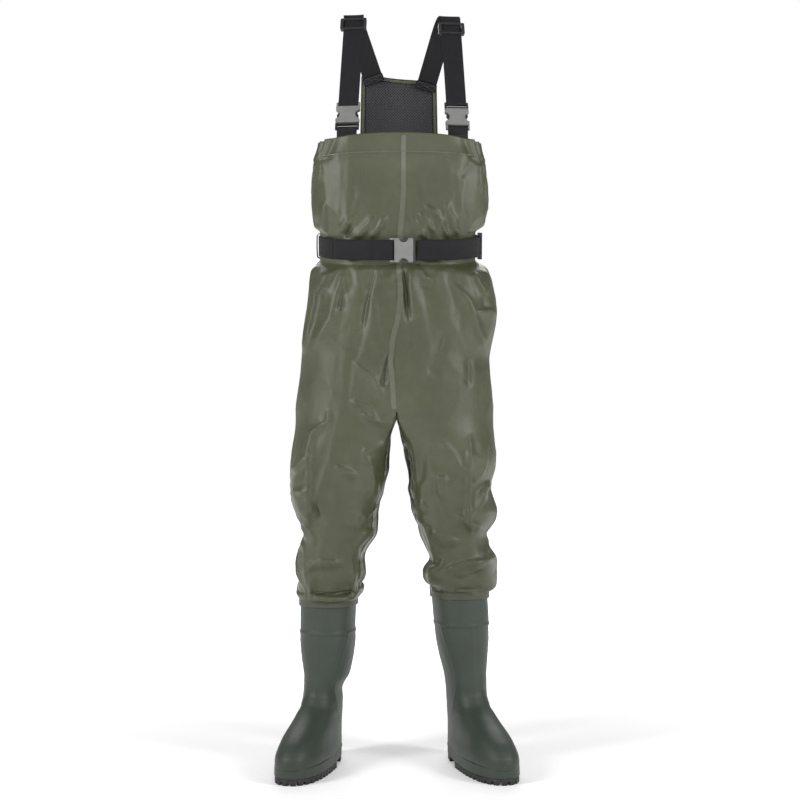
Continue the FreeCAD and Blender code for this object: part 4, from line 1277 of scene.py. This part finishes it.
def boot_relief(side, z, forward, wide):
    """Moulded detail of a boot: foxing, toe cap, heel ribs, ankle folds, panels, top ring."""
    def step(x, width):
        return 1.0 / (1.0 + np.exp(np.clip(-x / width, -40.0, 40.0)))

    relief = 0.0034 * step(0.050 + 0.006 * np.clip(forward / 0.2, -1, 1) - z, 0.0045)
    relief += 0.0010 * step(forward - 0.150 + 0.9 * (z - 0.03), 0.0008) * step(0.085 - z, 0.002)
    heel = step(-forward - 0.020, 0.004)
    ribs = np.sin(2.0 * math.pi * z / 0.0062)
    relief += heel * step(z - 0.056, 0.001) * step(0.112 - z, 0.001) * (0.0011 + 0.0013 * ribs)
    instep = step(forward - 0.030, 0.006)
    crease_line = z - (0.118 + 0.12 * (forward - 0.05))
    relief -= 0.0024 * bell(crease_line, 0.006) * instep
    relief -= 0.0018 * bell(crease_line - 0.022, 0.007) * instep
    relief += 0.0018 * bell(z - RIDGE_Z[side], 0.0028)
    relief += 0.0008 * step(z - RIDGE_Z[side], 0.0008)
    curve = forward - (0.012 + 0.020 * np.sin((z - 0.10) / 0.19 * math.pi))
    panel = bell(curve, 0.0022) * step(z - 0.100, 0.004) * step(RIDGE_Z[side] - z, 0.002)
    relief += 0.0016 * panel * share(np.abs(wide) / 0.02)
    rear = bell(forward + 0.026, 0.0022)
    relief += 0.0009 * rear * step(z - 0.118, 0.003) * step(RIDGE_Z[side] - z, 0.002)
    spine = bell(wide, 0.0035)
    relief += 0.0012 * spine * step(z - 0.115, 0.004) * step(RIDGE_Z[side] - z, 0.002)
    wobble = np.sin(31.0 * z + 9.0 * forward) * np.sin(17.0 * z + 40.0 * wide)
    relief += 0.0011 * wobble * share((z - 0.13) / 0.05)
    if side == "right":
        inner = share(wide / 0.035)
        relief += CALF_FULLNESS * inner * step(z - 0.168, 0.0045) * step(0.262 - z, 0.012)
        relief -= 0.0035 * inner * bell(z - 0.147, 0.014)
    return relief


def build_boot(side):
    """A boot's shell with its moulded detail, then the weld ring and the rand."""
    heights = np.concatenate([np.linspace(0.0285, 0.130, 44), np.linspace(0.132, BOOT_TOP, 86)])
    heel, toe, half = smooth_table(BOOT_ROWS, heights, 1)
    verts = []
    for k, z in enumerate(heights):
        ring, forward, wide = boot_ring(side, z, heel[k], toe[k], half[k])
        out = ring - ring.mean(axis=0)
        out /= np.linalg.norm(out, axis=1)[:, None]
        ring = ring + out * boot_relief(side, z, forward, wide)[:, None]
        verts.append(ring)
    faces = ring_faces(len(verts), BOOT_COLUMNS, flip=True)
    boot = mesh_object(side + "_boot_shell", np.vstack(verts), faces, BOOT)
    face_outwards(boot)
    thicken(subdivide(boot), 0.0035, -1.0)
    place(boot, ROOT, "boot_pvc", side + "_boot_upper")
    weld_ring(side)
    build_rand(side)


def build_rand(side):
    """The green band moulded round the sole: deep at the forefoot, shallow at the heel."""
    _, heel, toe, half = BOOT_ROWS[0]
    ring, forward, _ = boot_ring(side, RAND_TOP, heel, toe, half, RAND_OFFSET)
    rise = 1.0 / (1.0 + np.exp((forward - 0.022) / 0.009))
    low = RAND_LOW["forefoot"] + (RAND_LOW["heel"] - RAND_LOW["forefoot"]) * rise
    verts = []
    inwards = ring.mean(axis=0) - ring
    inwards /= np.linalg.norm(inwards, axis=1)[:, None]
    for level in np.linspace(0.0, 1.0, RAND_LEVELS):
        row = ring + inwards * RAND_TUCK * level ** 2
        row[:, 2] = low + (RAND_TOP - low) * level
        verts.append(row)
    faces = ring_faces(RAND_LEVELS, BOOT_COLUMNS, flip=True)
    rand = mesh_object(side + "_boot_rand", np.vstack(verts), faces, BOOT)
    face_outwards(rand)
    thicken(subdivide(rand), RAND_T, -1.0)
    place(rand, ROOT, "boot_pvc")
    build_toe_tread(side)


def build_toe_tread(side):
    """The black tread under the forefoot's edge, cut into lugs that follow the round toe."""
    _, heel, toe, half = BOOT_ROWS[0]
    ring, forward, _ = boot_ring(side, 0.0, heel, toe, half, TOE_TREAD_OFFSET, TOE_TREAD_POINTS)
    half_way = TOE_TREAD_POINTS // 2
    ring = np.roll(ring, half_way, axis=0)
    ring = ring[np.roll(forward, half_way) > TOE_TREAD_FROM]
    lug = (travelled(ring) / LUG_PITCH) % 1.0 < LUG_SHARE
    top = ring + np.array((0.0, 0.0, TOE_TREAD_TOP))
    bottom = ring.copy()
    bottom[:, 2] = np.where(lug, 0.0, LUG_DEPTH)
    count = len(ring)
    faces = [(i, i + 1, count + i + 1, count + i) for i in range(count - 1)]
    tread = mesh_object(side + "_toe_tread", np.vstack([top, bottom]), faces, SOLE)
    middle = Vector(ring.mean(axis=0))
    first = tread.data.polygons[0]
    inwards = (first.center - middle).dot(first.normal) < 0
    thicken(tread, TOE_TREAD_T, 1.0 if inwards else -1.0)
    place(tread, ROOT, "sole_rubber")


def face_outwards(obj):
    mesh = bmesh.new()
    mesh.from_mesh(obj.data)
    bmesh.ops.recalc_face_normals(mesh, faces=mesh.faces)
    middle = sum((v.co for v in mesh.verts), Vector()) / len(mesh.verts)
    score = sum((f.calc_center_median() - middle).dot(f.normal) for f in mesh.faces)
    if score < 0:
        bmesh.ops.reverse_faces(mesh, faces=mesh.faces)
    mesh.to_mesh(obj.data)
    mesh.free()


def weld_ring(side):
    heel, toe, half = [c[0] for c in smooth_table(BOOT_ROWS, [0.325])]
    ring, _, _ = boot_ring(side, WELD_Z[side], heel, toe, half, 0.0034)
    band = strip(side + "_weld_ring", ring, np.array((0.0, 0.0, -1.0)), 0.0150, 0.0022, WELD, 8,
                 closed=True)
    place(subdivide(band), ROOT, "weld_pvc", side + "_boot_weld_band")


# ---- plain solids kept from the frame -------------------------------------------------

def finish_node(name, material, width, segments=2):
    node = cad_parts[name]
    node.data.materials.clear()
    node.data.materials.append(material)
    bevel = node.modifiers.new("soft_edges", "BEVEL")
    bevel.width = width
    bevel.segments = segments
    bevel.limit_method = "ANGLE"
    bevel.angle_limit = math.radians(38.0)
    bevel.harden_normals = True


def finish_hardware():
    for side in SIDES:
        finish_node(side + "_buckle_female", GREY, 0.0009, 3)
        finish_node(side + "_buckle_male", BLACK, 0.0006)
        finish_node(side + "_buckle_prong_inner", BLACK, 0.0006)
        finish_node(side + "_buckle_prong_outer", BLACK, 0.0006)
        finish_node(side + "_strap_slider", BLACK, 0.0007)
        finish_node(side + "_boot_outsole", SOLE, 0.0010)
        finish_node(side + "_boot_insole", FELT, 0.0008)
        finish_node(side + "_boot_lining", LINING, 0.0004, 1)
    finish_node("belt_buckle_female", GREY, 0.0009, 3)
    finish_node("belt_buckle_male", BLACK, 0.0006)
    finish_node("belt_prong_upper", BLACK, 0.0006)
    finish_node("belt_prong_lower", BLACK, 0.0006)
    finish_node("belt_slider", BLACK, 0.0007)


# ---- putting the garment together -----------------------------------------------------

def cuff_follows_boot(side, row, z, weight):
    """Draws a leg row towards the outline of the boot's top, just outside the boot."""
    heel, toe, half = [c[0] for c in smooth_table(BOOT_ROWS, [min(z, BOOT_TOP)])]
    ring, _, _ = boot_ring(side, min(z, BOOT_TOP), heel, toe, half, 0.0026)
    middle = ring[:, :2].mean(axis=0)
    ring_angle = np.arctan2(ring[:, 1] - middle[1], ring[:, 0] - middle[0])
    order = np.argsort(ring_angle)
    ring_reach = np.hypot(ring[:, 0] - middle[0], ring[:, 1] - middle[1])[order]
    ring_angle = ring_angle[order]
    own = row[:, :2].mean(axis=0)
    angle = np.arctan2(row[:, 1] - own[1], row[:, 0] - own[0])
    reach = np.interp(angle, ring_angle, ring_reach, period=2.0 * math.pi)
    target = middle + np.column_stack([np.cos(angle), np.sin(angle)]) * reach[:, None]
    row[:, :2] = row[:, :2] * (1.0 - weight) + target * weight
    return row


def shape_legs(obj, legs):
    """Blends each leg into the crotch above it and the boot's cuff below it."""
    points = get_points(obj)
    for side, rings in legs.items():
        top = points[rings[0]]
        inner = np.arange(len(top)) > HALF_COLUMNS
        edge = LEG_EDGES[side]
        for ring in rings[1:]:
            row = points[ring]
            z = row[0, 2]
            keep = ease(share((CROTCH_Z - z) / 0.110))
            inside = np.interp(-z, [-e[0] for e in edge], [e[2] for e in edge])
            high = top.copy()
            high[inner, 0] = inside
            seam = np.abs(high[:, 0]) < 0.03
            high[seam, 0] = inside
            row[:, :2] = high[:, :2] * (1.0 - keep) + row[:, :2] * keep
            near = ease(share((0.392 - z) / 0.045))
            points[ring] = cuff_follows_boot(side, row, z, near)
    set_points(obj, points)
    return obj


def overhang(points, normals):
    """The fabric bags out above the boots and drops over the tighter cuff."""
    z = points[:, 2]
    dip = 0.352 + 0.026 * share(np.abs(points[:, 0] - 0.145) / 0.07)
    lower = np.where(points[:, 0] < 0, 0.342, dip)
    above = share((BAG_TOP - z) / (BAG_TOP - lower))
    below = share((z - (lower - BAG_DROP)) / BAG_DROP)
    bulge = BAG_REACH * np.where(z > lower, above, below)
    bulge[z > BAG_TOP] = 0.0
    bulge[z < lower - BAG_DROP] = 0.0
    return points + normals * bulge[:, None]


def reshape(obj, shape, *details):
    """Moves an object's points by a function of its points and normals."""
    set_points(obj, shape(get_points(obj), get_normals(obj), *details))


def build_fabric():
    """The whole garment, from its outline to its folds."""
    garment, legs = build_garment()
    shape_legs(garment, legs)
    face_outwards(garment)
    points = tilt_to_belt(wander_seam(get_points(garment)))
    points = arch_the_hem(points)
    set_points(garment, points)
    reshape(garment, overhang)
    reshape(garment, crease, FRONT_CREASES, -1.0)
    reshape(garment, crease, BACK_CREASES, 1.0)
    for shape in (gather_at_belt, stack_above_boots, crumple):
        reshape(garment, shape)
    soften_folds(garment)
    set_points(garment, tuck_under_belt(get_points(garment)))
    return garment, legs


def row_index(height):
    """The torso row nearest a height."""
    return int(round((BIB_TOP - height) / (BIB_TOP - CROTCH_Z) * (TORSO_ROWS - 1)))


def build_tapes(garment, legs):
    """Seam tapes down the middle of the front and back and down both inseams."""
    rows = np.arange(1, TORSO_ROWS) * COLUMNS
    for word, column in (("front", 0), ("back", BACK_COLUMN)):
        seam_tape(word + "_tape", garment, rows + (column - 1) % COLUMNS, rows + column,
                  rows + column + 1, TAPE_HALF, word + "_seam_tape")
    for side, rings in legs.items():
        rings = np.array(rings[2:-3])
        before, after = (1, -1) if side == "right" else (-1, 1)
        seam_tape(side + "_leg_tape", garment, rings[:, before], rings[:, 0], rings[:, after],
                  INSEAM_HALF, side + "_inseam_tape")


def build_hem_weld(garment):
    """The raised weld line where the facing is joined, all round the bib."""
    points = get_points(garment)
    normals = get_normals(garment)
    row = row_index(HEM_WELD_Z) * COLUMNS + np.arange(COLUMNS)
    line = strip("hem_weld_line", points[row] + normals[row] * 0.0009,
                 np.array((0.0, 0.0, 1.0)), 0.0026, 0.0010, TAPE, 4, closed=True)
    place(subdivide(line), ROOT, "seam_fabric")


def build_hem(garment):
    """Facing welded inside the bib's top edge, and the gathered elastic at each side."""
    points = get_points(garment)
    normals = get_normals(garment)
    wide = row_index(FACING_END_Z) + 1
    verts = []
    for r in range(wide):
        row = slice(r * COLUMNS, (r + 1) * COLUMNS)
        verts.append(points[row] - normals[row] * FACING_INSET)
    faces = ring_faces(wide, COLUMNS)
    facing = mesh_object("bib_hem_facing", np.vstack(verts), faces, FABRIC)
    face_outwards(facing)
    subdivide(facing)
    gather_sides(facing)
    thicken(facing, FACING_T, -1.0)
    place(facing, ROOT, "coated_fabric", "bib_hem")
    for side, sign in SIDES.items():
        row = row_index(ELASTIC_Z) * COLUMNS + np.arange(COLUMNS)
        chosen = [i for i in row if points[i, 0] * sign > 0.120]
        chosen.sort(key=lambda i: points[i, 1])
        flat = normals[chosen].copy()
        flat[:, 2] = 0.0
        path = points[chosen] - flat * ELASTIC_INSET
        band = strip(side + "_gathering_elastic", path, np.array((0.0, 0.0, 1.0)), 0.026,
                     0.0016, ELASTIC, 6)
        place(subdivide(band), ROOT, "elastic", side + "_side_elastic")


def tuck_under_belt(points):
    """Keeps the fabric inside the belt, and further in behind the buckle and the slide."""
    to_belt = np.array(BELT_MATRIX.inverted())
    local = points @ to_belt[:3, :3].T + to_belt[:3, 3]
    centre = np.column_stack([np.clip(local[:, 0], -BELT_STRAIGHT, BELT_STRAIGHT),
                              np.zeros(len(local))])
    arm = local[:, :2] - centre
    reach = np.linalg.norm(arm, axis=1)
    doubled = share((local[:, 0] + 0.090) / 0.02)
    doubled *= share((0.085 - local[:, 1]) / 0.02)
    free = share((np.abs(local[:, 2]) - BELT_HALF - 0.008) / 0.016)
    limit = BELT_RADIUS - 0.0030 - 0.0072 * doubled + 0.030 * free ** 1.5
    near = np.abs(local[:, 2]) < BELT_HALF + 0.024
    excess = np.where(near, np.clip(reach - limit, 0.0, None), 0.0)
    inward = np.zeros_like(local)
    inward[:, :2] = -arm / np.maximum(reach, 1e-6)[:, None] * excess[:, None]
    return points + inward @ np.linalg.inv(to_belt[:3, :3]).T


def finish_fabric(garment):
    """Fine creases on the subdivided garment, then its thickness."""
    subdivide(garment)
    for creases, facing in ((FRONT_CREASES, -1.0), (BACK_CREASES, 1.0)):
        points = crease(get_points(garment), get_normals(garment), creases, facing,
                        FINE_CREASE_GAIN, FINE_CREASE_WIDTH)
        set_points(garment, tuck_under_belt(points))
    gather_sides(garment)
    thicken(garment, FABRIC_T, -1.0)
    shells = [side + part for side in SIDES for part in ("_torso_shell", "_leg_shell")]
    place(garment, ROOT, "coated_fabric", *shells)


# ---- room -----------------------------------------------------------------------------

def build_room():
    floor = mesh_object("floor", [(-9, -9, 0), (9, -9, 0), (9, 9, 0), (-9, 9, 0)],
                        [(0, 1, 2, 3)], None, False)
    paper = Shader("white_paper", rough=0.9, specular=0.1)
    tone = paper.noise(paper.coords(), 3.0, 2.0)
    paper.colour(paper.ramp(tone, [(0.0, (0.93, 0.93, 0.93)), (1.0, (0.95, 0.95, 0.95))]))
    distance = paper.node("ShaderNodeVectorMath", operation="LENGTH")
    paper.link(paper.coords(), distance.inputs[0])
    glow = paper.node("ShaderNodeMapRange", interpolation_type="SMOOTHSTEP",
                      **{"From Min": 0.4, "From Max": 2.4, "To Min": 0.10, "To Max": 1.0})
    paper.link(distance.outputs["Value"], glow.inputs["Value"])
    paper.bsdf.inputs["Emission Color"].default_value = (1.0, 1.0, 1.0, 1.0)
    paper.link(glow.outputs["Result"], paper.bsdf.inputs["Emission Strength"])
    floor.data.materials.append(paper.material)
    world = bpy.data.worlds.new("soft_room")
    bpy.context.scene.world = world
    world.use_nodes = True
    background = world.node_tree.nodes["Background"]
    background.inputs["Color"].default_value = (1.0, 1.0, 1.0, 1.0)
    seen = world.node_tree.nodes.new("ShaderNodeLightPath")
    level = world.node_tree.nodes.new("ShaderNodeMapRange")
    level.inputs["To Min"].default_value = ROOM_LIGHT
    level.inputs["To Max"].default_value = 1.0
    world.node_tree.links.new(seen.outputs["Is Camera Ray"], level.inputs["Value"])
    world.node_tree.links.new(level.outputs["Result"], background.inputs["Strength"])


def add_light(name, place_at, aim, size, power):
    data = bpy.data.lights.new(name, "AREA")
    data.shape = "RECTANGLE"
    data.size, data.size_y = size
    data.energy = power
    light = bpy.data.objects.new(name, data)
    bpy.context.scene.collection.objects.link(light)
    light.location = place_at
    light.rotation_euler = (Vector(aim) - Vector(place_at)).to_track_quat("-Z", "Y").to_euler()


def add_camera():
    data = bpy.data.cameras.new("camera")
    data.lens = LENS
    data.shift_x = CAMERA_SHIFT
    camera = bpy.data.objects.new("camera", data)
    bpy.context.scene.collection.objects.link(camera)
    camera.location = (0.0, -CAMERA_DISTANCE, CAMERA_HEIGHT)
    camera.rotation_euler = (math.pi / 2, 0.0, 0.0)
    bpy.context.scene.camera = camera


def main():
    garment, legs = build_fabric()
    build_tapes(garment, legs)
    build_hem(garment)
    build_hem_weld(garment)
    finish_fabric(garment)
    build_yoke()
    build_belt()
    for side in SIDES:
        build_strap(side)
        build_tab(side)
        build_boot(side)
    finish_hardware()
    build_room()
    add_light("key_right", (-2.3, -1.5, 1.9), (0.0, 0.0, 0.8), (0.7, 1.8), 52.0)
    add_light("key_left", (2.3, -1.4, 1.8), (0.0, 0.0, 0.7), (0.7, 1.8), 44.0)
    add_light("front", (0.3, -3.2, 2.6), (0.0, 0.0, 0.6), (1.6, 1.0), 26.0)
    add_light("back", (0.0, 2.4, 2.2), (0.0, 0.0, 0.7), (2.0, 1.4), 40.0)
    add_camera()
    bpy.context.scene.view_settings.view_transform = "Standard"


main()
